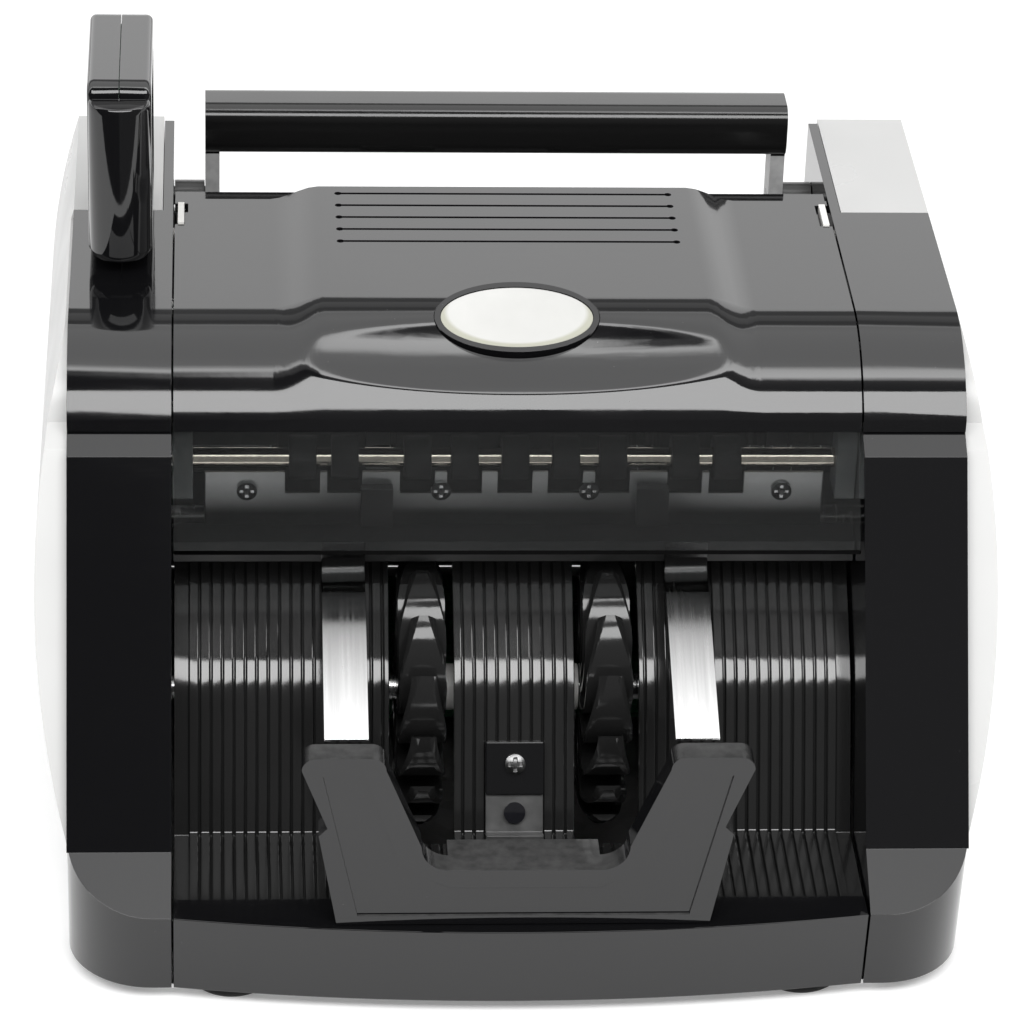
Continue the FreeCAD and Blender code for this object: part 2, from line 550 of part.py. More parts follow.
    # Places along the bracket's slope, as shares of its length
    plate_from, eye_at, screw_at = 0.42, 0.22, 0.76
    foot_y = "(guide_flat_y - sensor_foot)"
    wall_run = "(guide_wall_y - guide_flat_y)"
    wall_rise = f"(guide_wall_z - ({crest}))"
    wall_length = f"sqrt({wall_run}^2 + {wall_rise}^2)"
    run = f"({wall_run} * sensor_reach / {wall_length})"
    rise = f"({wall_rise} * sensor_reach / {wall_length})"

    def on_sensor(share, lift):
        """A point on the sensor bracket, by its share of the slope and its height above it."""
        return (f"guide_flat_y + {share} * {run} - ({lift}) * {rise} / sensor_reach",
                f"{crest} + {share} * {rise} + ({lift}) * {run} / sensor_reach")

    node("sensor_bracket", prism("YZ", [(foot_y, crest), ("guide_flat_y", crest), on_sensor(1, "0"),
                                        on_sensor(1, "sensor_thick"), on_sensor(0, "sensor_thick"),
                                        (foot_y, f"{crest} + sensor_thick")], "-sensor_half",
                                        "2 * sensor_half"))
    node("sensor_plate", prism("YZ", [on_sensor(plate_from, "sensor_thick"), on_sensor(1, "sensor_thick"),
                                      on_sensor(1, "2 * sensor_thick"), on_sensor(plate_from,
                                                                                  "2 * sensor_thick")],
                               "-sensor_half", "2 * sensor_half"))
    lean = math.degrees(math.atan2(value(rise), value(run)))

    def peg(share, lift, height, radius):
        """A round stud standing square on the bracket's slope."""
        solid = doc.addObject("Part::Cylinder", "peg")
        solid.Placement = FreeCAD.Placement(FreeCAD.Vector(), FreeCAD.Rotation(FreeCAD.Vector(1, 0, 0), lean))
        spot = on_sensor(share, lift)
        return drive(solid, Radius=radius, Height=height, Placement__Base__y=spot[0],
                     Placement__Base__z=spot[1])

    node("sensor_eye", peg(eye_at, "sensor_thick", "sensor_thick", "eye_radius"))
    return peg(screw_at, "2 * sensor_thick", "sensor_thick", "screw_radius")


def wheel_pieces():
    """Impeller wheels with curved blades whose tips narrow to a point, their collars and their shaft."""
    hub = rod("-wheel_width / 2", "wheel_width", 0, 0, "wheel_hub")
    tip = ("wheel_radius * cos(blade_sweep)", "-wheel_radius * sin(blade_sweep)")
    heel = ("(wheel_radius - blade_thick) * cos(blade_sweep)",
            "-(wheel_radius - blade_thick) * sin(blade_sweep)")
    middle = ("belly_radius * cos(belly_sweep)", "-belly_radius * sin(belly_sweep)")
    back = ("(belly_radius - blade_thick) * cos(belly_sweep)",
            "-(belly_radius - blade_thick) * sin(belly_sweep)")
    root = "wheel_hub - blade_sink"
    blade = prism("YZ", [(root, "blade_thick / 2"), ("via", *middle), tip, heel, ("via", *back),
                         (root, "-blade_thick / 2")], "-wheel_width / 2", "wheel_width")
    doc.recompute()
    blades = []
    for number in range(int(value("blade_count"))):
        copy = doc.addObject("Part::Compound", "blade")
        copy.Links = [blade]
        copy.Placement = FreeCAD.Placement(FreeCAD.Vector(), FreeCAD.Rotation(FreeCAD.Vector(1, 0, 0), 0))
        copy.setExpression("Placement.Rotation.Angle", bind(f"{number} * 360 / blade_count"))
        blades.append(copy)
    star = fuse(hub, *blades)
    ogive = doc.addObject("Part::Revolution", "ogive")
    half = "wheel_width / 2"
    ogive.Source = flat("XY", [(f"-{half}", "0"), (f"-{half}", "wheel_radius - tip_depth"),
                               ("via", "-tip_shoulder", "wheel_radius - shoulder_drop"),
                               ("-blade_thick / 2", "wheel_radius + fit"), ("blade_thick / 2",
                                                                            "wheel_radius + fit"),
                               ("via", "tip_shoulder", "wheel_radius - shoulder_drop"),
                               (half, "wheel_radius - tip_depth"), (half, "0")], "0")
    ogive.Axis = FreeCAD.Vector(1, 0, 0)
    ogive.Angle = 360
    ogive.Solid = True
    bore = rod("-wheel_width", "2 * wheel_width", 0, 0, "shaft_radius + shaft_fit")
    wheel = cut(common(star, ogive), bore)
    for name, side in (("left_impeller", -1), ("right_impeller", 1)):
        place = doc.addObject("Part::Compound", name)
        place.Links = [wheel]
        drive(place, Placement__Base__x=f"{side} * wheel_x", Placement__Base__y="wheel_y",
              Placement__Base__z="wheel_z")
        node(name, place)
    collar = cut(rod("wheel_x - wheel_width / 2 - collar_length - fit", "collar_length", "wheel_y", "wheel_z",
                     "collar_radius"),
                 rod("0", "wheel_x", "wheel_y", "wheel_z", "shaft_radius + shaft_fit"))
    node("impeller_collars", both_sides(collar))


def shaft_pieces():
    """Shafts, their rollers, bearings, side frames and tie rods."""
    reach = "shaft_reach + pulley_width + skin"
    for name, (y, z) in SHAFTS.items():
        node(f"{name}_shaft", rod("-shaft_reach", f"shaft_reach + {reach}", y, z, "shaft_radius"))
    frame = prism("YZ", [("wheel_y - frame_front", "base_z + skin"), ("pick_y + frame_rear", "base_z + skin"),
                         ("pick_y + frame_rear", "bed_front_z - frame_drop"),
                         ("feed_y + frame_crest", "bed_rear_z"),
                         ("feed_y", "bed_rear_z + frame_rise"), ("feed_y - frame_rear", "pinch_z"),
                         ("wheel_y - frame_front", "wheel_z + frame_front")],
                  "frame_x", "frame_thick",
                  [(y, z, "bearing_radius + shaft_fit") for y, z in SHAFTS.values()]
                  + [("motor_y", "motor_z", "motor_shaft + hole_room")])
    node("side_frames", both_sides(frame))
    bearings = []
    for y, z in SHAFTS.values():
        outer = rod("frame_x", "bearing_length", y, z, "bearing_radius")
        bearings.append(cut(outer, rod("bay_half", "3 * bearing_length", y, z, "shaft_radius + bearing_fit")))
    node("shaft_bearings", group(*bearings, *[mirror(one) for one in bearings]))
    node("tie_rods", group(*[rod("-bay_half + fit", "2 * (bay_half - fit)", y, z, "rod_radius")
                             for y, z in (("rod_rear_y", "rod_high_z"), ("rod_rear_y", "rod_low_z"),
                                          ("rod_middle_y", "rod_middle_z"))]))

    def rollers(places, width, y, z, radius, bore):
        rings = []
        for place in places:
            tyre = rod(f"{place} - {width} / 2", width, y, z, radius)
            rings.append(cut(tyre, rod(f"{place} - {width}", f"2 * ({width})", y, z, f"{bore} + shaft_fit")))
        return group(*rings)

    block_end = "bay_half - fit"
    node("pinch_shaft", rod(f"-({block_end}) + fit", f"2 * ({block_end} - fit)", "pinch_y", "pinch_z",
                            "pinch_shaft"))
    node("pinch_rollers", rollers(PINCH_PLACES, "pinch_width", "pinch_y", "pinch_z", "pinch_radius",
                                  "pinch_shaft"))
    end_block = prism("YZ", [("pinch_y - end_half", "pinch_z - end_drop"),
                             ("pinch_y + end_half", "pinch_z - end_drop"),
                             ("pinch_y + end_half", "pinch_z + end_rise"),
                             ("via", "pinch_y", "pinch_z + end_rise + end_half"),
                             ("pinch_y - end_half", "pinch_z + end_rise")],
                      f"{block_end} - end_block", "end_block", [("pinch_y", "pinch_z",
                                                                 "pinch_shaft + bearing_fit")])
    node("shaft_end_blocks", both_sides(end_block))
    middle = rollers(("0",), "feed_width", "feed_y", "feed_z", FEED_RADIUS, "shaft_radius")
    sides = rollers(("-feed_side_x", "feed_side_x"), "feed_side_width", "feed_y", "feed_z", FEED_RADIUS,
                    "shaft_radius")
    node("feed_rollers", group(middle, sides))
    node("pickup_rollers", rollers(("-pick_x", "pick_x"), "pick_width", "pick_y", PICK_Z, "pick_radius",
                                   "shaft_radius"))


def path_pieces(sensor_screw):
    """Guide plate, screws of the note path, counting sensors and the bar that carries them."""
    node("path_bar", box("-bay_half + fit", "bar_y - bar_depth / 2", "bar_z", "2 * (bay_half - fit)",
                         "bar_depth",
                         "bar_height"))
    sheet_low = "bar_z + bar_height"
    screen = box("-screen_half", "screen_y - screen_thick / 2", sheet_low, "2 * screen_half", "screen_thick",
                 f"screen_top_z - ({sheet_low})")
    gaps = [box(f"{place} - pinch_width / 2 - screen_gap", "screen_y - skin", "pinch_z - pinch_radius - skin",
                "pinch_width + 2 * screen_gap", "2 * skin", "top_z - pinch_z") for place in PINCH_PLACES]
    node("guide_screen", cut(screen, *gaps))
    front = "screen_y - screen_thick / 2"
    screws = [stud(place, f"{front} - screw_head", "screw_head", "screen_top_z - screw_drop", "screw_radius")
              for place in ("-screw_out_x", "-screw_in_x", "screw_in_x", "screw_out_x")]
    node("path_screws", group(sensor_screw, *screws))
    eye = box("eye_x - eye_width / 2", f"{front} - eye_depth", f"{sheet_low} + eye_lift", "eye_width",
              "eye_depth",
              "eye_height")
    node("counting_sensors", both_sides(eye))


def hopper_pieces():
    """Hopper bed with its roller slots, and the retard bar with its rubber pad."""
    bed = prism("YZ", [("bed_front_y", "bed_front_z"), (BED_REAR, "bed_rear_z"),
                       (BED_REAR, "bed_rear_z - bed_thick"), ("bed_front_y", "bed_front_z - bed_thick")],
                f"-({CENTRE_HALF})", f"2 * ({CENTRE_HALF})")
    slot = box("pick_x - pick_width / 2 - skin / 2", "pick_y - pick_radius + skin",
               "bed_front_z - 2 * bed_thick", "pick_width + skin", "2 * (pick_radius - skin)",
               "bed_rear_z - bed_front_z + 4 * bed_thick")
    node("hopper_bed", cut(bed, slot, mirror(slot)))
    node("retard_bar", box("-bay_half + fit", "retard_y", "retard_z", "2 * (bay_half - fit)", "retard_depth",
                           "retard_height"))
    pad_low = f"(feed_z + {FEED_RADIUS} + retard_gap)"
    node("retard_pad", box("-retard_half", "retard_y", pad_low, "2 * retard_half", "retard_depth",
                           f"retard_z - {pad_low}"))


PULLEYS = {
    "motor": ("motor_y", "motor_z", "motor_pulley", "motor_shaft"),
    "pickup": ("pick_y", PICK_Z, "pick_pulley", "shaft_radius"),
    "feed": ("feed_y", "feed_z", "feed_pulley", "shaft_radius"),
    "impeller": ("wheel_y", "wheel_z", "wheel_pulley", "shaft_radius"),
}


def belt_loop(extra):
    """The closed wire round all four pulleys, at a distance extra outside their rims, in the YZ plane."""
    spots = [(FreeCAD.Vector(0, value(y), value(z)), value(radius) + extra)
             for y, z, radius, bore in PULLEYS.values()]
    edges = []
    touches = []
    for index, (start, start_radius) in enumerate(spots):
        end, end_radius = spots[(index + 1) % len(spots)]
        along = end - start
        tilt = math.asin((start_radius - end_radius) / along.Length)
        outward = FreeCAD.Rotation(FreeCAD.Vector(1, 0, 0), math.degrees(tilt)).multVec(
            FreeCAD.Vector(0, along.z, -along.y).normalize())
        touches.append((start + outward * start_radius, end + outward * end_radius))
        edges.append(Part.LineSegment(*touches[-1]).toShape())
    for index, (centre, radius) in enumerate(spots):
        arrive = touches[index - 1][1]
        leave = touches[index][0]
        crown = ((arrive - centre) + (leave - centre)).normalize()
        edges.append(Part.Arc(arrive, centre + crown * radius, leave).toShape())
    return Part.Wire(Part.__sortEdges__(edges))


def drive_pieces():
    """Motor, its shaft, the four flanged pulleys and the belt round them."""
    can = rod("bay_half - fit - motor_length", "motor_length", "motor_y", "motor_z", "motor_radius")
    cap = rod("bay_half - fit - motor_length - skin", "skin", "motor_y", "motor_z", "motor_radius / 2")
    node("main_motor", fuse(can, cap))
    node("motor_shaft", rod("bay_half - fit", "pulley_x + pulley_width + skin - bay_half", "motor_y",
                            "motor_z",
                            "motor_shaft"))
    for name, (y, z, radius, bore) in PULLEYS.items():
        rim = rod("pulley_x", "pulley_width", y, z, radius)
        inner = rod("pulley_x - flange_thick", "flange_thick", y, z, f"{radius} + pulley_flange")
        outer = rod("pulley_x + pulley_width", "flange_thick", y, z, f"{radius} + pulley_flange")
        hole = rod("pulley_x - skin", "pulley_width + 2 * skin", y, z, f"{bore} + shaft_fit")
        node(f"{name}_pulley", cut(fuse(rim, inner, outer), hole))
    belt = doc.addObject("Part::Feature", "belt")
    outside = Part.Face(belt_loop(value("belt_gap + belt_thick")))
    inside = Part.Face(belt_loop(value("belt_gap")))
    belt.Shape = outside.cut(inside).extrude(FreeCAD.Vector(value("pulley_width - 4 * belt_gap"), 0, 0))
    belt.Placement.Base.x = value("pulley_x + 2 * belt_gap")
    node("drive_belt", belt)


# Parts on the main board: distance across, distance back, width, depth, height
CHIPS = ((8, 10, 24, 18, 3), (40, 14, 14, 14, 2.4), (12, 42, 16, 30, 9), (64, 8, 20, 10, 8), (36, 64, 40, 8,
                                                                                              8))


def electric_pieces():
    """Main board on its posts, transformer, mains inlet and rocker switch."""
    board = box("board_x", "board_y", "board_z", "board_width", "board_depth", "board_thick")
    chips = [box(f"board_x + {across}", f"board_y + {back}", "board_z + board_thick", width, depth, height)
             for across, back, width, depth, height in CHIPS]
    node("main_board", fuse(board, *chips))
    core = box("core_x", "core_y", "base_z", "core_width", "core_depth", "core_height")
    coil = box("core_x + coil_inset", "core_y - (coil_depth - core_depth) / 2", "base_z + coil_lift",
               "core_width - 2 * coil_inset", "coil_depth", "core_height - 2 * coil_lift")
    node("transformer", fuse(core, coil))

    inlet = box("inlet_x - inlet_width / 2", "rear_y - inlet_depth", "inlet_z - inlet_height / 2",
                "inlet_width",
                "inlet_depth + inlet_rim", "inlet_height")
    rim = box("inlet_x - inlet_width / 2 - inlet_rim", "rear_y", "inlet_z - inlet_height / 2 - inlet_rim",
              "inlet_width + 2 * inlet_rim", "inlet_rim", "inlet_height + 2 * inlet_rim")
    socket = box("inlet_x - inlet_width / 2 + inlet_rim", "rear_y - inlet_depth + inlet_rim",
                 "inlet_z - inlet_height / 2 + inlet_rim", "inlet_width - 2 * inlet_rim",
                 "inlet_depth + inlet_rim",
                 "inlet_height - 2 * inlet_rim")
    blades = [box(f"inlet_x + {side} * pin_pitch - pin_thick / 2", "rear_y - inlet_depth",
                  f"inlet_z + {rise} * pin_offset - pin_width / 2", "pin_thick", "inlet_depth - pin_setback",
                  "pin_width")
              for side, rise in ((-1, -1), (0, 1), (1, -1))]
    node("mains_inlet", fuse(cut(fuse(inlet, rim), socket), *blades))

    half_wide = "(rocker_width / 2 + rocker_room)"
    half_tall = "(rocker_height / 2 + rocker_room)"
    depth = "rocker_depth"
    case = box(f"rocker_x - {half_wide} - rocker_wall", f"rear_y - {depth}",
               f"rocker_z - {half_tall} - rocker_wall", f"2 * ({half_wide} + rocker_wall)", depth,
               f"2 * ({half_tall} + rocker_wall)")
    face = box(f"rocker_x - {half_wide} - 2 * rocker_wall", "rear_y",
               f"rocker_z - {half_tall} - 2 * rocker_wall",
               f"2 * ({half_wide} + 2 * rocker_wall)", "rocker_wall / 2",
               f"2 * ({half_tall} + 2 * rocker_wall)")
    well = box(f"rocker_x - {half_wide}", f"rear_y - {depth} + rocker_wall", f"rocker_z - {half_tall}",
               f"2 * {half_wide}", f"2 * {depth}", f"2 * {half_tall}")
    pin_y = "rear_y - rocker_sink"
    pins = rod(f"rocker_x - {half_wide} - rocker_wall / 2", f"2 * {half_wide} + rocker_wall", pin_y,
               "rocker_z",
               "rocker_pin")
    bore = rod(f"rocker_x - {half_wide} - rocker_wall / 2", f"2 * {half_wide} + rocker_wall", pin_y,
               "rocker_z",
               "rocker_pin + bearing_fit")
    node("switch_case", cut(fuse(case, face), well, bore))
    low, high = "rocker_z - rocker_height / 2", "rocker_z + rocker_height / 2"
    key = prism("YZ", [("rear_y - rocker_sink - rocker_tip", f"{low} + rocker_clear"),
                       ("rear_y", f"{low} + rocker_clear / 2"), ("rear_y - rocker_dip", "rocker_z"),
                       ("rear_y + rocker_tip", f"{high} - 1.5 * rocker_clear"),
                       ("rear_y - rocker_sink", f"{high} - rocker_clear / 2"),
                       ("rear_y - rocker_belly", "rocker_z")],
                "rocker_x - rocker_width / 2", "rocker_width")
    node("switch_rocker", fuse(key, pins))


def tilted_ellipse(half_wide, half_tall, lift, height):
    """An oval disc standing square on the badge's tilted plane."""
    oval = doc.addObject("Part::Ellipse", "oval")
    turn = FreeCAD.Rotation(FreeCAD.Vector(1, 0, 0), value("badge_tilt"))
    oval.Placement = FreeCAD.Placement(FreeCAD.Vector(), turn)
    drive(oval, MajorRadius=half_wide, MinorRadius=half_tall,
          Placement__Base__y=f"badge_y - ({lift}) * sin(badge_tilt)",
          Placement__Base__z=f"badge_z + ({lift}) * cos(badge_tilt)")
    disc = doc.addObject("Part::Extrusion", "disc")
    disc.Base = oval
    disc.DirMode = "Custom"
    disc.Dir = turn.multVec(FreeCAD.Vector(0, 0, 1))
    disc.Solid = True
    return drive(disc, LengthFwd=height)


def cover_pieces():
    """Hinged top cover, smoked visor, oval badge with its bezel, and hinge ears."""
    def lid_outline(share):
        """The cover's cross section where the raised middle has reached this share of its rise."""
        top = f"top_z + {share} * plateau_rise"
        rear = f"cover_rear + {share} * (plateau_rear - cover_rear)"
        return (roll_front(f"({top})") + [(rear, top), (rear, "top_z - lip_drop"),
                                                   ("lip_rear", "top_z - lip_drop"), ("lip_rear",
                                                                                      "top_z - skin")]
                + ROLL_BACK)

    # The flank of the raised middle eases in and out between its foot and its top
    flank = doc.addObject("Part::Loft", "flank")
    flank.Sections = [flat("YZ", lid_outline(f"{step * step * (3 - 2 * step):.3f}"),
                           f"plateau_half + plateau_slope * {1 - 2 * step:.1f}")
                      for step in (0, 0.2, 0.4, 0.6, 0.8, 1)]
    flank.Solid = True
    flank.Ruled = True
    middle = prism("YZ", lid_outline("1"), "plateau_slope - plateau_half",
                   "2 * (plateau_half - plateau_slope)")
    border = prism("YZ", lid_outline("0"), "plateau_half + plateau_slope",
                   f"{CENTRE_HALF} - plateau_half - plateau_slope")
    raised_z = "(top_z + plateau_rise)"
    lug = prism("YZ", [("hinge_y - hinge_lug", "top_z - skin / 2"), ("hinge_y + hinge_lug",
                                                                     "top_z - skin / 2"),
                       ("hinge_y + hinge_lug", "hinge_z"), ("via", "hinge_y", "hinge_z - hinge_lug"),
                       ("hinge_y - hinge_lug", "hinge_z")],
                "ear_x - fit - lug_length", "lug_length")
    dish = doc.addObject("Part::Ellipsoid", "dish")
    drop = f"({raised_z} - roll_z - roll_lip)"
    bend = f"({roll_chord(ROLL_REACH, drop)}^2 / (2 * {drop}))"
    dish.Placement = FreeCAD.Placement(FreeCAD.Vector(),
                                       FreeCAD.Rotation(FreeCAD.Vector(1, 0, 0), value("dish_at")))
    above = f"({bend} + dish_deep - dish_depth)"
    drive(dish, Radius1="dish_deep", Radius2="dish_long", Radius3="dish_wide",
          Placement__Base__y=f"crown_y - {above} * sin(dish_at)",
          Placement__Base__z=f"{raised_z} - {bend} + {above} * cos(dish_at)")
    seat = tilted_ellipse("badge_half + badge_rim + fit", "badge_reach + badge_rim + fit", "-badge_height",
                          "3 * badge_height")
    notch = box("ear_x - fit", "hinge_y - hinge_lug - fit", "top_z - 2 * skin", "seam + bay_half - ear_x",
                "2 * (hinge_lug + fit)", "4 * skin")
    gutter = box("ear_x - ear_slot", "hinge_y - hinge_lug - fit", "top_z - skin / 2", "ear_slot",
                 "2 * (hinge_lug + fit)", "skin")
    louvres = []
    for index in range(SIZES["louvre_count"]):
        y = f"(louvre_rear_y - {index} * louvre_pitch)"
        louvres.append(prism("XY", [("-louvre_half", f"{y} - louvre_width / 2"),
                                    ("louvre_half", f"{y} - louvre_width / 2"),
                                    ("via", "louvre_half + louvre_width / 2", y),
                                    ("louvre_half", f"{y} + louvre_width / 2"),
                                    ("-louvre_half", f"{y} + louvre_width / 2"),
                                    ("via", "-louvre_half - louvre_width / 2", y)],
                             f"{raised_z} - louvre_depth", "2 * louvre_depth"))
        louvres += [post(x, y, f"{raised_z} - louvre_depth", "2 * louvre_depth", "louvre_dot")
                    for x in ("-louvre_half", "louvre_half")]
    hinge_bore = rod("ear_x - 3 * skin", "5 * skin", "hinge_y", "hinge_z", "hinge_pin + shaft_fit")
    lid = fuse(middle, flank, mirror(flank), border, mirror(border), lug, mirror(lug))
    node("top_cover", cut(lid, dish, seat, notch, mirror(notch), gutter, mirror(gutter), hinge_bore,
                          mirror(hinge_bore), *louvres))

    ear = prism("YZ", [("hinge_y - hinge_lug", "top_z + ear_proud"), ("hinge_y + hinge_lug",
                                                                      "top_z + ear_proud"),
                       ("hinge_y + hinge_lug", "hinge_z"), ("via", "hinge_y", "hinge_z - hinge_lug"),
                       ("hinge_y - hinge_lug", "hinge_z")], "ear_x", "ear_thick")
    pin = rod("ear_x - fit - lug_length", "bay_half + cheek_wall - ear_x + lug_length", "hinge_y", "hinge_z",
              "hinge_pin")
    node("hinge_ears", both_sides(fuse(ear, pin)))

    lean = "(brow_y - ledge_y) / (brow_z - ledge_z)"
    top = "(roll_z - visor_gap)"
    low_y = f"(ledge_y + (visor_z - ledge_z) * {lean} + visor_setback)"
    high_y = f"(ledge_y + ({top} - ledge_z) * {lean} + visor_setback)"
    node("visor", prism("YZ", [(low_y, "visor_z"), (high_y, top), (f"{high_y} + visor_thick", top),
                               (f"{low_y} + visor_thick", "visor_z")], f"-({CENTRE_HALF})",
                               f"2 * ({CENTRE_HALF})"))

    rim = tilted_ellipse("badge_half + badge_rim", "badge_reach + badge_rim", "-badge_height / 2",
                         "badge_height")
    bowl = tilted_ellipse("badge_half + fit", "badge_reach + fit", "badge_height / 2 - badge_recess",
                          "badge_height")
    node("badge_bezel", cut(rim, bowl))
    node("badge_plate", tilted_ellipse("badge_half", "badge_reach", "badge_height / 2 - badge_recess",
                                       "badge_recess - badge_sink"))


def handle_pieces():
    """Carry handle and its shouldered pivot pins."""
    y_front, y_back = "grip_y", "grip_y + grip_depth"
    z_low, z_high = "grip_z", "grip_z + grip_height"
    inset = f"grip_round * {CORNER}"
    bar = prism("YZ", [(f"{y_front} + grip_round", z_low), (f"{y_back} - grip_round", z_low),
                       ("via", f"{y_back} - {inset}", f"{z_low} + {inset}"), (y_back,
                                                                              f"{z_low} + grip_round"),
                       (y_back, f"{z_high} - grip_round"), ("via", f"{y_back} - {inset}",
                                                            f"{z_high} - {inset}"),
                       (f"{y_back} - grip_round", z_high), (f"{y_front} + grip_round", z_high),
                       ("via", f"{y_front} + {inset}", f"{z_high} - {inset}"), (y_front,
                                                                                f"{z_high} - grip_round"),
                       (y_front, f"{z_low} + grip_round"), ("via", f"{y_front} + {inset}",
                                                            f"{z_low} + {inset}")],
                "-grip_half", "2 * grip_half")
    arm = prism("YZ", [("pivot_y - arm_half", "pivot_z"), ("via", "pivot_y", "pivot_z - arm_half"),
                       ("pivot_y + arm_half", "pivot_z"), ("pivot_y + arm_half", "grip_z + grip_round"),
                       ("pivot_y - arm_half", "grip_z + grip_round")],
                "grip_half - arm_thick", "arm_thick")
    bore = rod("grip_half - 2 * arm_thick", "3 * arm_thick", "pivot_y", "pivot_z", "pivot_radius + shaft_fit")
    node("carry_handle", cut(fuse(bar, arm, mirror(arm)), bore, mirror(bore)))
    pin = rod("grip_half - arm_thick", "bay_half + cheek_wall - grip_half + arm_thick", "pivot_y", "pivot_z",
              "pivot_radius")
    shoulder = rod("grip_half + fit", "bay_half - grip_half - 2 * fit", "pivot_y", "pivot_z",
                   "pivot_shoulder")
    node("handle_pivots", both_sides(fuse(pin, shoulder)))


def pod_pieces():
    """Display pod: two half shells, screen, board and the neck that it swivels on."""
    y_front, y_back = "pod_front_y", "pod_front_y + pod_depth"
    z_low, z_high = "pod_z", "pod_z + pod_height"
    inset = f"pod_round * {CORNER}"

    def slab(margin, start, length):
        """A round-cornered plate of the pod's side outline, drawn in by margin."""
        front, back = f"({y_front} + ({margin}))", f"({y_back} - ({margin}))"
        low, high = f"({z_low} + ({margin}))", f"({z_high} - ({margin}))"
        outline = [(f"{front} + pod_round", low), (f"{back} - pod_round", low),
                   ("via", f"{back} - {inset}", f"{low} + {inset}"), (back, f"{low} + pod_round"),
                   (back, f"{high} - pod_round"), ("via", f"{back} - {inset}", f"{high} - {inset}"),
                   (f"{back} - pod_round", high), (f"{front} + pod_round", high),
                   ("via", f"{front} + {inset}", f"{high} - {inset}"), (front, f"{high} - pod_round"),
                   (front, f"{low} + pod_round"), ("via", f"{front} + {inset}", f"{low} + {inset}")]
        return prism("YZ", outline, start, length)

    half = "pod_thick / 2"
    outer = slab("0", f"pod_x - {half}", f"{half} - fit / 2")
    outer_room = slab("pod_wall", f"pod_x - {half} + pod_wall", half)
    inner = slab("0", "pod_x + fit / 2", f"{half} - fit / 2")
    inner_room = slab("pod_wall", "pod_x", f"{half} - pod_wall")
    window = slab("window_margin", "pod_x", "pod_thick")
    outer_edge = value(f"pod_x - {half}")
    inner_edge = value(f"pod_x + {half}")
    outer = rounded(outer, "pod_edge", lambda p: abs(p.x - outer_edge) < 0.01)
    inner = rounded(inner, "pod_edge", lambda p: abs(p.x - inner_edge) < 0.01)
    spigot = post("pod_x", "pod_axis_y", "top_z - 2 * skin", "pod_z + 2 * pod_wall - top_z + 2 * skin",
                  "neck_radius / 2 + shaft_fit")
    node("pod_outer_shell", cut(outer, outer_room, spigot))
    node("pod_inner_shell", cut(inner, inner_room, window, spigot))
    node("pod_screen", slab("window_margin + fit", f"pod_x + {half} - pod_wall", "pod_wall / 2"))
    node("pod_board", slab("pod_wall + fit", "pod_x - board_thick", "board_thick"))
    stem = post("pod_x", "pod_axis_y", "top_z - skin - 2 * fit", "skin + 2 * fit + neck_flange_thick",
                "neck_radius")
    flange = post("pod_x", "pod_axis_y", "top_z + fit", "pod_z - top_z - 2 * fit", "neck_flange")
    peg = post("pod_x", "pod_axis_y", "top_z", "pod_z + pod_wall - top_z", "neck_radius / 2")
    keeper = post("pod_x", "pod_axis_y", "top_z - skin - 2 * fit - neck_flange_thick", "neck_flange_thick",
                  "neck_flange")
    node("pod_neck", fuse(stem, flange, peg, keeper))


shell_pieces()
sensor_screw = stacker_pieces()
wheel_pieces()
shaft_pieces()
path_pieces(sensor_screw)
hopper_pieces()
drive_pieces()
electric_pieces()
cover_pieces()
handle_pieces()
pod_pieces()
doc.recompute()

faults = [f"{item.Label} {item.State}" for item in doc.Objects if {"Invalid", "Error"} & set(item.State)]
for label, solid in NODES.items():
    if solid.Shape.isNull() or not solid.Shape.isValid() or not solid.Shape.Solids:
        faults.append(label)
if faults:
    raise SystemExit("faulty: " + ", ".join(faults))
os.makedirs("parts", exist_ok=True)
for label, solid in NODES.items():
    solid.Shape.exportStep(f"parts/{label}.step")
print(len(NODES), "nodes written")
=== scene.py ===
import json
import math

import bmesh
import bpy
from mathutils import Matrix, Vector


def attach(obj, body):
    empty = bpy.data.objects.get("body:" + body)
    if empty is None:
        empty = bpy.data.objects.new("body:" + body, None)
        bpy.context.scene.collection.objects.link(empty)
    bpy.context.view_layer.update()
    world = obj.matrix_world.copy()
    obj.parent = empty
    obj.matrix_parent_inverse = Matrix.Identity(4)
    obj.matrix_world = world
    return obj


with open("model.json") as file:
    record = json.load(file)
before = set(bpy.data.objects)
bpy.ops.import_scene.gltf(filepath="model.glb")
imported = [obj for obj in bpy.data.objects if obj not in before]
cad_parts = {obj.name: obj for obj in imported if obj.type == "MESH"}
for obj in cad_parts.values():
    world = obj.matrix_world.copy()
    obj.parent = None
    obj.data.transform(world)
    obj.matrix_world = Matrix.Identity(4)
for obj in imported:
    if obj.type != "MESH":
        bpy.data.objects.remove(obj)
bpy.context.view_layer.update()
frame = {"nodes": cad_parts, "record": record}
scene = bpy.context.scene
scene.view_settings.view_transform = "Standard"

# Camera, fitted to the photograph's edges: metres, degrees and pixels of the 1024 pixel frame
CAMERA_PLACE = Vector((-0.0902, -1.2682, 0.8214))
CAMERA_PITCH = 29.654
CAMERA_YAW = 4.14
CAMERA_ROLL = 2.026
CAMERA_NEAR = 0.05
CAMERA_FAR = 50
FOCAL_PIXELS = 4796.0
FRAME_PIXELS = 1024
SENSOR_WIDTH = 36.0

# Light levels, where 1 is white
BACKDROP_WHITE = 1.0
DIFFUSE_SKY = 0.8

# Front soft box: radiance of its face, and its place, aim and size in metres
SOFT_BOX = 8.5
SOFT_BOX_PLACE = (0, -0.955, 1.13)
SOFT_BOX_AIM = (0, -0.071, 0.118)
SOFT_BOX_WIDTH = 1.9
SOFT_BOX_HEIGHT = 0.45

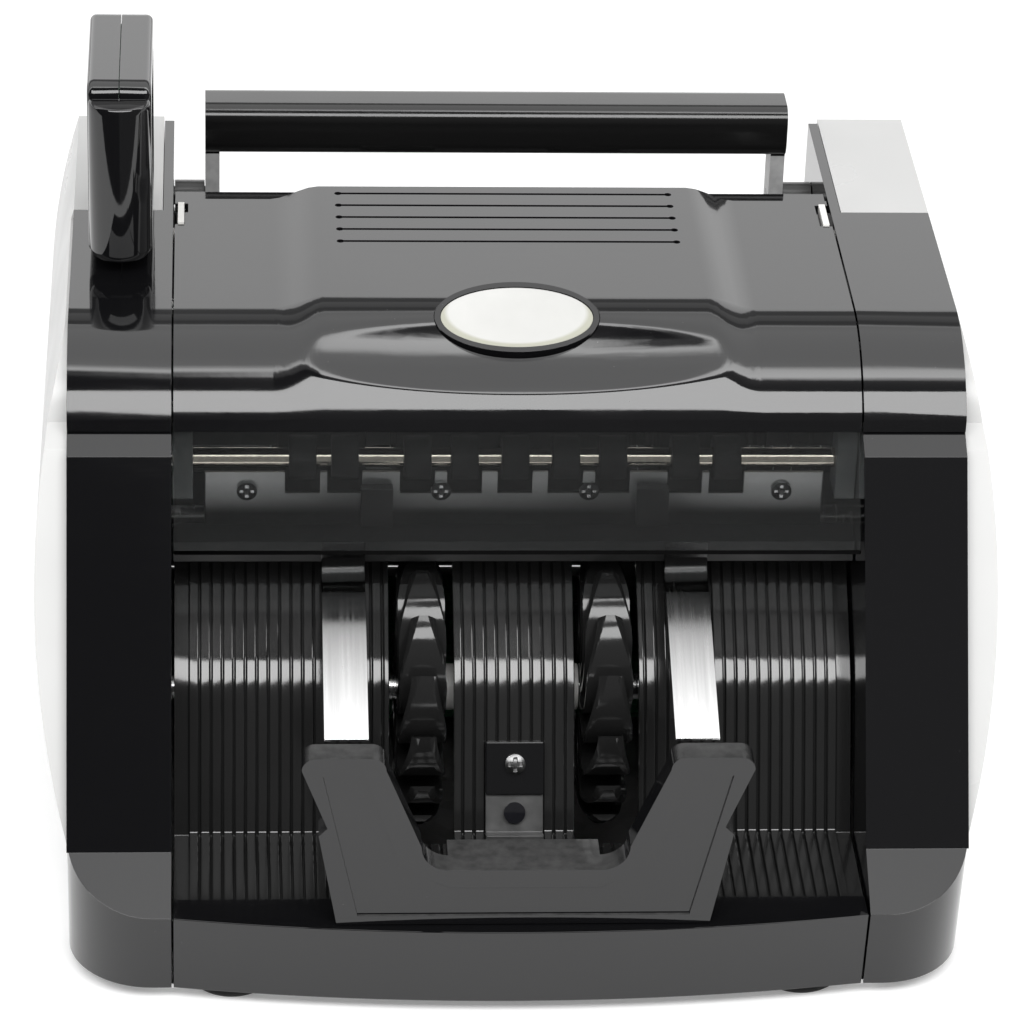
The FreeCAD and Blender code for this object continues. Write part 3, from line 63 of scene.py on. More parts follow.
# Table top: colour, the light that it gives off itself, and its size and front edge in metres
FLOOR_COLOUR = (0.86, 0.86, 0.86, 1)
FLOOR_LIFT = 0.2
FLOOR_SIZE = 9.0
FLOOR_FRONT = -0.28

# Brightness of the studio as gloss mirrors it, by degrees from the rear horizon over the top to the
# front one: white backdrop, its frame, the ceiling panel, the overhead light, and the dark room
# around the front soft box
HALF_TURN = 180
STUDIO_PEAK = 8.0
STUDIO = (
    (0, 1.9), (30, 1.9), (32, 0.35), (38, 0.35), (40, 0.7), (47, 0.6), (49, 0.35), (53, 0.4),
    (54.5, 2.4), (56, 1.6), (62, 1.9), (92, 2.0), (100, 2.2), (104, 6.5), (111, 7.5), (113, 0.4),
    (121, 0.15), (180, 0.12),
)
# A dark boom across the overhead light on the left side: how much it covers by the same degrees, how
# much light it takes, and the sideways directions between which it ends
BOOM = ((0, 0), (105, 0), (107, 1), (180, 1))
BOOM_SHADE = 0.93
BOOM_START = -0.01
BOOM_END = 0.03
# Unevenness of the studio's edges, as a share of half a turn
STUDIO_WOBBLE = 0.008

# The usual range of a noise texture, and depths of surface relief in metres
NOISE_LOW = 0.3
NOISE_HIGH = 0.7
FINE_RELIEF = 0.0001
SOFT_RELIEF = 0.0002
DEEP_RELIEF = 0.0003

# Dust: the reach of a speck in its cell, and the noise levels between which the specks appear
SPECK_REACH = 0.05
DUST_START = 0.52
DUST_FULL = 0.7

# Refractive index of the gloss mouldings
GLOSS_INDEX = 1.55

# Rounded edges of the mouldings, metres
EDGE_SMALL = 0.0003
EDGE_SHELL = 0.0007
EDGE_HANDLE = 0.0009
EDGE_PLATE = 0.0013
EDGE_SEGMENTS = 2
WELD_GAP = 1e-6
SHARP_ANGLE = math.radians(17)
CREASE_ANGLE = math.radians(50)

# Lower face of the handle's grip in metres, and how much rougher its painted arms are
GRIP_LOW = 0.1688
ARM_ROUGHER = 0.25

# Heights between which painted shade darkens the note deflectors from bright steel to near black, metres
STRIP_BRIGHT = 0.076
STRIP_DARK = 0.099

# Heights between which painted shade on the guide plate behind the visor goes from full to none, metres
PLATE_DARK = 0.114
PLATE_BRIGHT = 0.125

# Badge oval: its middle and half axes on the lid, metres
BADGE_MIDDLE_Y = -0.0125
BADGE_HALF_LONG = 0.0225
BADGE_HALF_DEEP = 0.0106

# Roll along the lid's front, metres: the axis and radius of its raised middle and of the sides, the
# half widths where the middle starts to fall and meets the sides, and the lip that ends the roll
ROLL_AXIS_Y = -0.005
ROLL_AXIS_Z = 0.13837
ROLL_RADIUS = 0.03563
SIDE_AXIS_Z = 0.13147
SIDE_RADIUS = 0.03853
PLATEAU_TOP_HALF = 0.0568
PLATEAU_FOOT_HALF = 0.072
ROLL_LIP_Z = 0.1506
# Heights between which the shading goes over to the sides' roll
EASY_LOW_Z = 0.1545
EASY_HIGH_Z = 0.160
# Depths over which the dish runs out of the roll, at the lower and the upper of two heights, and how
# far proud of the roll a point may stand before it counts less, and then no more, as part of it
DISH_CRISP = 0.0004
DISH_FADE = 0.0024
DISH_LOW_Z = 0.154
DISH_HIGH_Z = 0.162
PROUD_LEAST = 0.00005
PROUD_MOST = 0.0003

# Rounded nose of the display pod, metres: middle, half width, reach, the flat front that it grows
# from, and for each ring of its edge the height and the share of its girth
NOSE_X = -0.117
NOSE_HALF = 0.0092
NOSE_REACH = 0.0085
NOSE_ROOT_Y = 0.0205
NOSE_RINGS = (
    (0.1755, 0.86), (0.1765, 0.95), (0.178, 1.0), (0.2235, 1.0), (0.2248, 0.985), (0.2256, 0.95),
    (0.2258, 0.9),
)
NOSE_STEPS = 48

# Dark pleated sheet inside the rear vents, standing in for the shade inside the case, metres: its sides,
# height, outer face, pleats and thickness
SHADE_SHEET_LEFT = 0.0375
SHADE_SHEET_RIGHT = 0.0945
SHADE_SHEET_LOW = 0.039
SHADE_SHEET_HIGH = 0.078
SHADE_SHEET_Y = 0.1249
SHADE_SHEET_PLEAT = 0.0008
SHADE_SHEET_THICK = 0.0008
SHADE_SHEET_STEPS = 38

# Flared rubber feet, metres: their places and the radius and height of each ring
FOOT_X = 0.084
FOOT_FRONT_Y = -0.104
FOOT_REAR_Y = 0.108
FOOT_RINGS = ((0.0118, 0.00005), (0.0124, 0.0006), (0.0122, 0.0014), (0.0096, 0.0034))
FOOT_STEPS = 64

# Screw heads: radius, dome and recess in metres, cells from the middle of the head to its rim and to
# the sides and ends of the cross, and the lean of the stacker sensor's screw
SCREW_RADIUS = 0.003
SCREW_DOME = 0.0007
SCREW_CELLS = 12
CROSS_DEPTH = 0.0006
CROSS_WIDE = 2
CROSS_LONG = 8
SENSOR_LEAN = math.radians(64)

# Numbers of the two inputs and the output of a mix node, by what it mixes
MIX_SOCKETS = {"FLOAT": (2, 3, 0), "VECTOR": (4, 5, 1), "RGBA": (6, 7, 2)}


def aim(yaw, pitch, roll):
    """The rotation of a camera that looks along +Y, turned to the right, tipped down and rolled."""
    forward = Vector((math.sin(yaw) * math.cos(pitch), math.cos(yaw) * math.cos(pitch), -math.sin(pitch)))
    level = Vector((math.cos(yaw), -math.sin(yaw), 0))
    upward = level.cross(forward)
    right = level * math.cos(roll) + upward * math.sin(roll)
    up = upward * math.cos(roll) - level * math.sin(roll)
    return Matrix((right, up, -forward)).transposed()


def make_camera():
    data = bpy.data.cameras.new("camera")
    data.sensor_width = SENSOR_WIDTH
    data.lens = FOCAL_PIXELS * SENSOR_WIDTH / FRAME_PIXELS
    data.clip_start = CAMERA_NEAR
    data.clip_end = CAMERA_FAR
    camera = bpy.data.objects.new("camera", data)
    turn = aim(math.radians(CAMERA_YAW), math.radians(CAMERA_PITCH), math.radians(CAMERA_ROLL))
    camera.matrix_world = Matrix.Translation(CAMERA_PLACE) @ turn.to_4x4()
    scene.collection.objects.link(camera)
    scene.camera = camera


class Tree:
    """Short calls to add and join nodes."""

    def __init__(self, tree):
        self.nodes = tree.nodes
        self.links = tree.links
        self.nodes.clear()

    def add(self, kind, inputs=None, **settings):
        """Add a node; an input is a plain value or another node's output socket."""
        node = self.nodes.new(kind)
        for name, setting in settings.items():
            setattr(node, name, setting)
        for name, given in (inputs or {}).items():
            if isinstance(given, bpy.types.NodeSocket):
                self.links.new(given, node.inputs[name])
            else:
                node.inputs[name].default_value = given
        return node

    def math(self, operation, first, second=0.0, clamp=False):
        node = self.add("ShaderNodeMath", {0: first, 1: second}, operation=operation, use_clamp=clamp)
        return node.outputs[0]

    def plus(self, first, second):
        return self.math("ADD", first, second)

    def minus(self, first, second):
        return self.math("SUBTRACT", first, second)

    def times(self, first, second):
        return self.math("MULTIPLY", first, second)

    def vector(self, x, y, z):
        return self.add("ShaderNodeCombineXYZ", {"X": x, "Y": y, "Z": z}).outputs[0]

    def axes(self, vector=None):
        """The X, Y and Z of a vector, or else of the place in the row frame."""
        return self.add("ShaderNodeSeparateXYZ", {"Vector": vector or self.place()}).outputs

    def normalized(self, vector):
        return self.add("ShaderNodeVectorMath", {0: vector}, operation="NORMALIZE").outputs[0]

    def ramp(self, factor, *stops):
        """A colour ramp through (place, grey or colour) stops."""
        node = self.add("ShaderNodeValToRGB", {"Fac": factor})
        elements = node.color_ramp.elements
        while len(elements) < len(stops):
            elements.new(0.5)
        for element, (place, tone) in zip(elements, stops):
            element.position = place
            element.color = (*tone, 1) if isinstance(tone, tuple) else grey(tone)
        return node.outputs["Color"]

    def tones(self, noise, first, second):
        """Two tones over the usual range of a noise."""
        return self.ramp(noise, (NOISE_LOW, first), (NOISE_HIGH, second))

    def span(self, factor, low, high, start=0.0, end=1.0):
        """Map start..end to low..high."""
        inputs = {"Value": factor, "From Min": start, "From Max": end, "To Min": low, "To Max": high}
        return self.add("ShaderNodeMapRange", inputs).outputs["Result"]

    def between(self, noise, low, high):
        """Map the usual range of a noise to low..high."""
        return self.span(noise, low, high, NOISE_LOW, NOISE_HIGH)

    def place(self, stretch=(1, 1, 1)):
        """The row frame's coordinates in metres, stretched."""
        coordinates = self.add("ShaderNodeTexCoord").outputs["Object"]
        return self.add("ShaderNodeMapping", {"Vector": coordinates, "Scale": stretch}).outputs["Vector"]

    def noise(self, scale, detail=3.0, stretch=(1, 1, 1)):
        inputs = {"Vector": self.place(stretch), "Scale": scale, "Detail": detail}
        return self.add("ShaderNodeTexNoise", inputs).outputs["Fac"]

    def cells(self, scale, output="Distance"):
        return self.add("ShaderNodeTexVoronoi", {"Vector": self.place(), "Scale": scale}).outputs[output]

    def mix(self, factor, first, second, kind="RGBA"):
        first_number, second_number, result_number = MIX_SOCKETS[kind]
        inputs = {0: factor, first_number: first, second_number: second}
        return self.add("ShaderNodeMix", inputs, data_type=kind).outputs[result_number]

    def bump(self, height, strength, distance=FINE_RELIEF, normal=None):
        inputs = {"Height": height, "Strength": strength, "Distance": distance}
        if normal:
            inputs["Normal"] = normal
        return self.add("ShaderNodeBump", inputs).outputs["Normal"]


def shade(name, inputs, builder):
    """A material with one principled shader; builder returns more inputs from its nodes."""
    material = bpy.data.materials.new(name)
    material.use_nodes = True
    tree = Tree(material.node_tree)
    shader = tree.add("ShaderNodeBsdfPrincipled", {**inputs, **builder(tree)})
    output = tree.add("ShaderNodeOutputMaterial")
    tree.links.new(shader.outputs[0], output.inputs["Surface"])
    return material


def grey(level):
    return (level, level, level, 1)


def dust(tree, base, speck, scale=260):
    """A base colour with a few pale specks of dust."""
    spots = tree.ramp(tree.cells(scale), (0.0, 1.0), (SPECK_REACH, 0.0))
    sparse = tree.ramp(tree.noise(scale=35), (DUST_START, 0.0), (DUST_FULL, 1.0))
    return tree.mix(tree.times(spots, sparse), base, speck)


def gloss(tree, normal=None):
    """Inputs of a black gloss moulding with smears, hairlines and specks of dust."""
    smears = tree.between(tree.noise(scale=18, detail=5), 0.03, 0.08)
    hairlines = tree.noise(scale=60, detail=2, stretch=(1, 22, 1))
    waves = tree.noise(scale=260, detail=2)
    return {"Base Color": dust(tree, (0.0045, 0.0045, 0.005, 1), speck=grey(0.12)),
            "Roughness": tree.plus(smears, tree.span(hairlines, 0.0, 0.03, start=0.5, end=0.8)),
            "Normal": tree.bump(waves, strength=0.025, distance=SOFT_RELIEF, normal=normal)}


def gloss_black():
    return shade("gloss_black", {"IOR": GLOSS_INDEX}, gloss)


def plate_black():
    """The gloss of the stacker plate, with a painted sheen, a paler base colour, on what faces up."""
    def build(tree):
        inputs = gloss(tree)
        upward = tree.axes(tree.add("ShaderNodeNewGeometry").outputs["Normal"])["Z"]
        # Painted sheen: faces that point up get a paler base colour, standing in for the bright light they
        # reflect
        painted_sheen = tree.tones(tree.noise(scale=300, detail=4), 0.035, 0.06)
        sheen_on_top = tree.span(upward, 0.0, 1.0, start=0.55, end=0.9)
        inputs["Base Color"] = tree.mix(sheen_on_top, inputs["Base Color"], painted_sheen)
        return inputs
    return shade("plate_black", {"IOR": GLOSS_INDEX}, build)


def eased(tree, share):
    """A share from nought to one with level ends."""
    return tree.times(tree.times(share, share), tree.minus(3.0, tree.times(share, 2.0)))


def roll_out(tree, x, along, z):
    """Depth under the lid's roll as it was before the dish was cut, and the way the roll faces there."""
    axis_drop = ROLL_AXIS_Z - SIDE_AXIS_Z
    radius_gain = SIDE_RADIUS - ROLL_RADIUS
    across = tree.span(tree.math("ABSOLUTE", x), 0.0, 1.0, PLATEAU_TOP_HALF, PLATEAU_FOOT_HALF)
    lowered = eased(tree, across)
    axis = tree.minus(ROLL_AXIS_Z, tree.times(lowered, axis_drop))
    radius = tree.plus(ROLL_RADIUS, tree.times(lowered, radius_gain))
    up = tree.minus(z, axis)
    radial = tree.vector(0.0, along, up)
    distance = tree.add("ShaderNodeVectorMath", {0: radial}, operation="LENGTH").outputs["Value"]
    # The eased share s has the slope 6 s (1 - s), over the width of the fall
    steepest = 6 / (PLATEAU_FOOT_HALF - PLATEAU_TOP_HALF)
    steep = tree.times(tree.times(across, tree.minus(1.0, across)), steepest)
    fall = tree.minus(tree.times(up, axis_drop), tree.times(distance, radius_gain))
    lean = tree.times(tree.times(steep, fall), tree.math("SIGN", x))
    return tree.minus(radius, distance), tree.vector(lean, along, up)


def cover_black():
    """The gloss of the lid, where the dish runs softly out of the roll around it."""
    def build(tree):
        x, y, z = tree.axes()
        along = tree.minus(y, ROLL_AXIS_Y)
        depth, out = roll_out(tree, x, along, z)
        level = tree.math("SQRT", tree.minus(SIDE_RADIUS ** 2, tree.times(along, along)))
        easy = tree.vector(0.0, along, level)
        fade = tree.span(z, DISH_CRISP, DISH_FADE, DISH_LOW_Z, DISH_HIGH_Z)
        share = tree.math("SUBTRACT", 1.0, tree.math("DIVIDE", depth, fade), clamp=True)
        above = tree.math("GREATER_THAN", z, ROLL_LIP_Z)
        front = tree.times(above, tree.math("LESS_THAN", along, 0.0))
        near = tree.span(depth, 0.0, 1.0, -PROUD_MOST, -PROUD_LEAST)
        weight = tree.times(eased(tree, share), tree.times(front, near))
        low = tree.times(front, tree.span(z, 1.0, 0.0, EASY_LOW_Z, EASY_HIGH_Z))
        soft = tree.add("ShaderNodeNewGeometry").outputs["Normal"]
        for share_of_turn, direction in ((weight, out), (low, easy)):
            turned = tree.add("ShaderNodeVectorTransform", {"Vector": direction}, vector_type="NORMAL",
                              convert_from="OBJECT", convert_to="WORLD").outputs[0]
            soft = tree.normalized(tree.mix(share_of_turn, soft, tree.normalized(turned), "VECTOR"))
        return gloss(tree, soft)
    return shade("cover_black", {"IOR": GLOSS_INDEX}, build)


def moulding(name, ior, base, speck, specks, patches, rough, grain, strength, distance=FINE_RELIEF):
    """A dark plastic with specks of dust, patchy roughness and a grain, each with its noise scale."""
    def build(tree):
        return {"Base Color": dust(tree, grey(base), grey(speck), specks),
                "Roughness": tree.between(tree.noise(patches, detail=4), *rough),
                "Normal": tree.bump(tree.noise(grain, detail=2), strength, distance)}
    return shade(name, {"IOR": ior}, build)


def satin_black():
    return moulding("black_plastic", ior=1.5, base=0.009, speck=0.09, specks=320, patches=40,
                    rough=(0.28, 0.42), grain=2200, strength=0.12)


def guide_black():
    return moulding("guide_black", ior=1.64, base=0.012, speck=0.14, specks=360, patches=55,
                    rough=(0.09, 0.14), grain=1500, strength=0.05)


def impeller_black():
    return moulding("impeller", ior=1.52, base=0.012, speck=0.15, specks=420, patches=90,
                    rough=(0.08, 0.15), grain=700, strength=0.06, distance=SOFT_RELIEF)


def handle_black():
    """Black grip over the height of the bar, grey painted arms below it."""
    def build(tree):
        arm = tree.math("LESS_THAN", tree.axes()["Z"], GRIP_LOW)
        paint = tree.tones(tree.noise(scale=300), 0.26, 0.34)
        worn = tree.between(tree.noise(scale=40, detail=4), 0.1, 0.18)
        return {"Base Color": tree.mix(arm, dust(tree, grey(0.006), grey(0.1), scale=320), paint),
                "Roughness": tree.plus(worn, tree.times(arm, ARM_ROUGHER)),
                "Normal": tree.bump(tree.noise(scale=1800, detail=2), strength=0.05)}
    return shade("handle_black", {"IOR": 1.5}, build)


def rubber():
    def build(tree):
        return {"Base Color": tree.tones(tree.noise(scale=60, detail=4), 0.012, 0.024),
                "Roughness": tree.between(tree.noise(scale=110, detail=4), 0.62, 0.82),
                "Normal": tree.bump(tree.noise(scale=1600), strength=0.2, distance=SOFT_RELIEF)}
    return shade("rubber", {"IOR": 1.5}, build)


def white_shell():
    def build(tree):
        clouds = tree.noise(scale=7, detail=4)
        return {"Base Color": tree.ramp(clouds, (0.35, (0.49, 0.49, 0.485)), (0.65, (0.53, 0.53, 0.525))),
                "Roughness": tree.between(tree.noise(scale=30, detail=4), 0.26, 0.4),
                "Normal": tree.bump(tree.noise(scale=1800, detail=2), strength=0.06)}
    return shade("white_shell", {"IOR": 1.5}, build)


def nylon():
    def build(tree):
        return {"Base Color": tree.tones(tree.noise(scale=80), (0.74, 0.73, 0.70), (0.84, 0.83, 0.81)),
                "Roughness": tree.span(tree.noise(scale=160), 0.35, 0.5),
                "Normal": tree.bump(tree.noise(scale=1500), strength=0.06)}
    return shade("nylon", {"IOR": 1.53}, build)


def frosted():
    def build(tree):
        return {"Base Color": tree.tones(tree.noise(scale=120), (0.30, 0.31, 0.31), (0.42, 0.43, 0.43)),
                "Roughness": tree.span(tree.noise(scale=220), 0.4, 0.6),
                "Normal": tree.bump(tree.noise(scale=1500), strength=0.08)}
    return shade("frosted", {"IOR": 1.5, "Transmission Weight": 0.35}, build)


def badge_white():
    """Off-white face with painted shade, a darker creamy ring, around the rim of the oval."""
    def build(tree):
        axes = tree.axes()
        along = tree.math("DIVIDE", axes["X"], BADGE_HALF_LONG)
        across = tree.math("DIVIDE", tree.minus(axes["Y"], BADGE_MIDDLE_Y), BADGE_HALF_DEEP)
        reach = tree.plus(tree.times(along, along), tree.times(across, across))
        face = tree.tones(tree.noise(scale=45, detail=4), (0.47, 0.47, 0.455), (0.53, 0.53, 0.515))
        # Painted shade: a darker ring towards the oval's edge, standing in for the shading of a domed rim
        rim = tree.span(reach, 0.0, 1.0, start=0.80, end=0.92)
        return {"Base Color": tree.mix(rim, face, (0.36, 0.36, 0.30, 1)),
                "Roughness": tree.between(tree.noise(scale=70), 0.16, 0.26),
                "Normal": tree.bump(tree.noise(scale=500), strength=0.05, distance=SOFT_RELIEF)}
    return shade("badge_white", {"IOR": 1.5}, build)


def smoked_acrylic():
    def build(tree):
        smears = tree.noise(scale=14, detail=5)
        clouds = tree.noise(scale=5, detail=2)
        return {"Base Color": tree.tones(clouds, (0.36, 0.37, 0.37), (0.40, 0.41, 0.41)),
                "Roughness": tree.span(smears, 0.0, 0.02, start=0.4, end=0.8),
                "Normal": tree.bump(tree.noise(scale=60, detail=2), strength=0.006, distance=SOFT_RELIEF)}
    return shade("smoked", {"IOR": 1.49, "Transmission Weight": 1.0}, build)


def screen_glass():
    def build(tree):
        smears = tree.noise(scale=25, detail=4)
        return {"Base Color": dust(tree, (0.012, 0.012, 0.014, 1), grey(0.1), scale=500),
                "Roughness": tree.span(smears, 0.02, 0.08, start=0.4, end=0.7)}
    return shade("screen_glass", {"IOR": 1.5, "Coat Weight": 0.5}, build)


def dark_lens():
    def build(tree):
        return {"Base Color": dust(tree, (0.008, 0.008, 0.01, 1), grey(0.08), scale=700),
                "Roughness": tree.between(tree.noise(scale=300, detail=2), 0.04, 0.12)}
    return shade("dark_lens", {"IOR": 1.55, "Coat Weight": 0.6}, build)


def bright_shaft():
    def build(tree):
        rings = tree.noise(scale=900, detail=2, stretch=(1, 0.05, 0.05))
        return {"Base Color": tree.tones(rings, (0.80, 0.72, 0.62), (0.90, 0.82, 0.71)),
                "Roughness": tree.between(rings, 0.08, 0.14)}
    return shade("bright_shaft", {"Metallic": 1.0}, build)


def ground_steel():
    def build(tree):
        rings = tree.noise(scale=700, stretch=(1, 0.05, 0.05))
        return {"Base Color": tree.tones(rings, 0.52, 0.66), "Roughness": tree.between(rings, 0.16, 0.3),
                "Normal": tree.bump(rings, strength=0.06)}
    return shade("steel", {"Metallic": 1.0}, build)


def polished_strip():
    """Brushed steel, with painted shade that darkens it towards its upper end."""
    def build(tree):
        brush = tree.noise(scale=900, stretch=(1, 0.02, 0.02))
        marks = tree.noise(scale=45, detail=4)
        # Painted shade: the base colour goes to near black over the strip's upper end
        strip_shade = tree.span(tree.axes()["Z"], 0.0, 1.0, STRIP_BRIGHT, STRIP_DARK)
        scratched = tree.span(marks, 0.0, 0.1, start=0.45, end=0.75)
        return {"Base Color": tree.mix(strip_shade, tree.tones(brush, 0.62, 0.74), grey(0.05)),
                "Roughness": tree.plus(tree.between(brush, 0.14, 0.24), scratched),
                "Normal": tree.bump(brush, strength=0.08)}
    return shade("polished_strip", {"Metallic": 1.0}, build)


def sheet_steel():
    def build(tree):
        spangle = tree.add("ShaderNodeRGBToBW", {"Color": tree.cells(170, output="Color")}).outputs[0]
        return {"Base Color": tree.ramp(spangle, (0.2, 0.44), (0.8, 0.56)),
                "Roughness": tree.span(spangle, 0.32, 0.46),
                "Normal": tree.bump(tree.noise(scale=600), strength=0.05)}
    return shade("sheet_steel", {"Metallic": 1.0}, build)


def dull_plate():
    """Sheet metal with painted shade that darkens it towards the bottom."""
    def build(tree):
        patches = tree.noise(scale=60, detail=4, stretch=(0.4, 1, 1))
        # Painted shade: the base colour goes dark below PLATE_DARK, for the shade behind the visor
        plate_shade = tree.span(tree.axes()["Z"], 1.0, 0.0, PLATE_DARK, PLATE_BRIGHT)
        return {"Base Color": tree.mix(plate_shade, tree.tones(patches, 0.40, 0.55), grey(0.06)),
                "Roughness": tree.between(patches, 0.28, 0.4),
                "Normal": tree.bump(tree.noise(scale=500), strength=0.04)}
    return shade("dull_plate", {"Metallic": 1.0}, build)


def dark_zinc():
    def build(tree):
        patches = tree.noise(scale=140, detail=4)
        return {"Base Color": tree.tones(patches, 0.07, 0.11), "Roughness": tree.between(patches, 0.3, 0.45),
                "Normal": tree.bump(tree.noise(scale=900), strength=0.06)}
    return shade("dark_zinc", {"Metallic": 0.5}, build)


def burnished(name, low, high):
    def build(tree):
        patches = tree.noise(scale=700)
        return {"Base Color": tree.tones(patches, low, high), "Roughness": tree.span(patches, 0.24, 0.4),
                "Normal": tree.bump(patches, strength=0.05)}
    return shade(name, {"Metallic": 1.0}, build)


def varnished_iron():
    def build(tree):
        layers = tree.noise(scale=900, detail=1, stretch=(0.02, 1, 0.02))
        return {"Base Color": tree.ramp(layers, (0.35, 0.05), (0.65, 0.12)),
                "Roughness": tree.span(layers, 0.4, 0.6),
                "Normal": tree.bump(layers, strength=0.2, distance=DEEP_RELIEF)}
    return shade("iron", {"Metallic": 0.7}, build)


def circuit_green():
    def build(tree):
        inputs = {"Vector": tree.place(), "Scale": 60.0, "Mortar Size": 0.03, "Mortar": (0.05, 0.2, 0.09, 1),
                  "Color1": (0.012, 0.09, 0.035, 1), "Color2": (0.016, 0.11, 0.045, 1)}
        return {"Base Color": tree.add("ShaderNodeTexBrick", inputs).outputs["Color"],
                "Roughness": tree.span(tree.noise(scale=200), 0.3, 0.45)}
    return shade("green_board", {"IOR": 1.5}, build)


def make_world():
    """White to the camera, a plain sky to diffuse light, and to gloss a studio of bands."""
    world = bpy.data.worlds.new("studio")
    scene.world = world
    world.use_nodes = True
    tree = Tree(world.node_tree)
    direction = tree.add("ShaderNodeTexCoord").outputs["Generated"]
    x, y, z = tree.axes(direction)
    over = tree.math("DIVIDE", tree.math("ARCTAN2", z, y), math.pi)
    over = tree.plus(over, tree.times(tree.math("LESS_THAN", z, 0.0), 2.0))
    clouds = tree.add("ShaderNodeTexNoise", {"Vector": direction, "Scale": 9.0, "Detail": 2.0}).outputs["Fac"]
    over = tree.plus(over, tree.between(clouds, -STUDIO_WOBBLE, STUDIO_WOBBLE))
    bands = tree.ramp(over, *[(degrees / HALF_TURN, level / STUDIO_PEAK) for degrees, level in STUDIO])
    boom = tree.ramp(over, *[(degrees / HALF_TURN, cover) for degrees, cover in BOOM])
    boom = tree.times(boom, tree.span(x, BOOM_SHADE, 0.0, BOOM_START, BOOM_END))
    studio = tree.times(tree.times(bands, tree.minus(1.0, boom)), STUDIO_PEAK)
    path = tree.add("ShaderNodeLightPath").outputs
    mirrored = tree.mix(path["Is Glossy Ray"], DIFFUSE_SKY, studio, "FLOAT")
    direct = tree.math("MAXIMUM", path["Is Camera Ray"], path["Is Transmission Ray"])
    level = tree.mix(direct, mirrored, BACKDROP_WHITE, "FLOAT")
    background = tree.add("ShaderNodeBackground", {"Color": grey(1.0), "Strength": level})
    output = tree.add("ShaderNodeOutputWorld")
    tree.links.new(background.outputs[0], output.inputs["Surface"])


def floor_white():
    def build(tree):
        return {"Base Color": tree.tones(tree.noise(scale=3), 0.84, 0.88)}
    lift = {"Emission Color": FLOOR_COLOUR, "Emission Strength": FLOOR_LIFT}
    return shade("floor", {"Roughness": 0.8, **lift}, build)


def make_floor():
    """A pale table top that ends a little in front of the machine and runs far behind it."""
    bpy.ops.mesh.primitive_plane_add(size=FLOOR_SIZE, location=(0, FLOOR_FRONT + FLOOR_SIZE / 2, 0))
    floor = bpy.context.object
    floor.name = "floor"
    floor.data.materials.append(floor_white())


def make_soft_box():
    """A lamp in front, whose face has the soft box's radiance."""
    data = bpy.data.lights.new("soft_box", "AREA")
    data.shape = "RECTANGLE"
    data.size = SOFT_BOX_WIDTH
    data.size_y = SOFT_BOX_HEIGHT
    data.energy = SOFT_BOX * math.pi * SOFT_BOX_WIDTH * SOFT_BOX_HEIGHT
    lamp = bpy.data.objects.new("soft_box", data)
    lamp.location = SOFT_BOX_PLACE
    toward = Vector(SOFT_BOX_AIM) - Vector(SOFT_BOX_PLACE)
    lamp.rotation_euler = toward.to_track_quat("-Z", "Y").to_euler()
    lamp.visible_camera = False
    scene.collection.objects.link(lamp)


# Materials by slot, and the nodes that have one of their own or another slot's
MATERIALS = {
    "gloss_black": gloss_black, "white_shell": white_shell, "black_plastic": satin_black,
    "smoked": smoked_acrylic, "steel": ground_steel, "sheet_steel": sheet_steel, "rubber": rubber,
    "impeller": impeller_black, "frosted": frosted, "nylon": nylon, "badge_white": badge_white,
    "green_board": circuit_green, "iron": varnished_iron, "screen_glass": screen_glass,
}
SPECIAL = {
    "note_deflectors": polished_strip, "stacker_guide": guide_black, "carry_handle": handle_black,
    "sensor_bracket": dark_zinc, "guide_screen": dull_plate, "sensor_eye": dark_lens,
    "pinch_shaft": bright_shaft, "top_cover": cover_black, "stacker_plate": plate_black,
}
OTHER_SLOT = {
    "sensor_plate": "gloss_black", "path_bar": "black_plastic", "handle_pivots": "black_plastic",
}
# Nodes whose edges are rounder than the small ones
EDGES = {
    "carry_handle": EDGE_HANDLE, "right_cheek": EDGE_SHELL, "left_cheek": EDGE_SHELL,
    "top_cover": EDGE_SHELL, "front_tray": EDGE_SHELL, "stacker_plate": EDGE_PLATE,
    "badge_bezel": EDGE_SHELL, "right_side_panel": EDGE_SHELL, "left_side_panel": EDGE_SHELL,
    "rear_cover": EDGE_SHELL,
}


def smooth_by_angle():
    """A node group that shades smooth across every edge flatter than the sharp angle."""
    group = bpy.data.node_groups.new("smooth_by_angle", "GeometryNodeTree")
    for way in ("INPUT", "OUTPUT"):
        group.interface.new_socket("Geometry", in_out=way, socket_type="NodeSocketGeometry")
    tree = Tree(group)
    start = tree.add("NodeGroupInput")
    angle = tree.add("GeometryNodeInputMeshEdgeAngle").outputs["Unsigned Angle"]
    flat = tree.add("FunctionNodeCompare", {"A": angle, "B": SHARP_ANGLE}, operation="LESS_THAN").outputs[0]
    shape = start.outputs[0]
    for domain, smooth in (("FACE", True), ("EDGE", flat)):
        inputs = {"Geometry": shape, "Shade Smooth": smooth}
        shape = tree.add("GeometryNodeSetShadeSmooth", inputs, domain=domain).outputs[0]
    end = tree.add("NodeGroupOutput")
    tree.links.new(shape, end.inputs[0])
    return group


def soften(piece, width, smooth):
    """Give a node softly rounded edges and smooth faces."""
    weld = piece.modifiers.new("weld", "WELD")
    weld.merge_threshold = WELD_GAP
    edge = piece.modifiers.new("edge", "BEVEL")
    edge.width = width
    edge.segments = EDGE_SEGMENTS
    edge.limit_method = "ANGLE"
    edge.angle_limit = SHARP_ANGLE
    edge.use_clamp_overlap = True
    shading = piece.modifiers.new("smooth", "NODES")
    shading.node_group = smooth
    normals = piece.modifiers.new("normals", "WEIGHTED_NORMAL")
    normals.keep_sharp = True


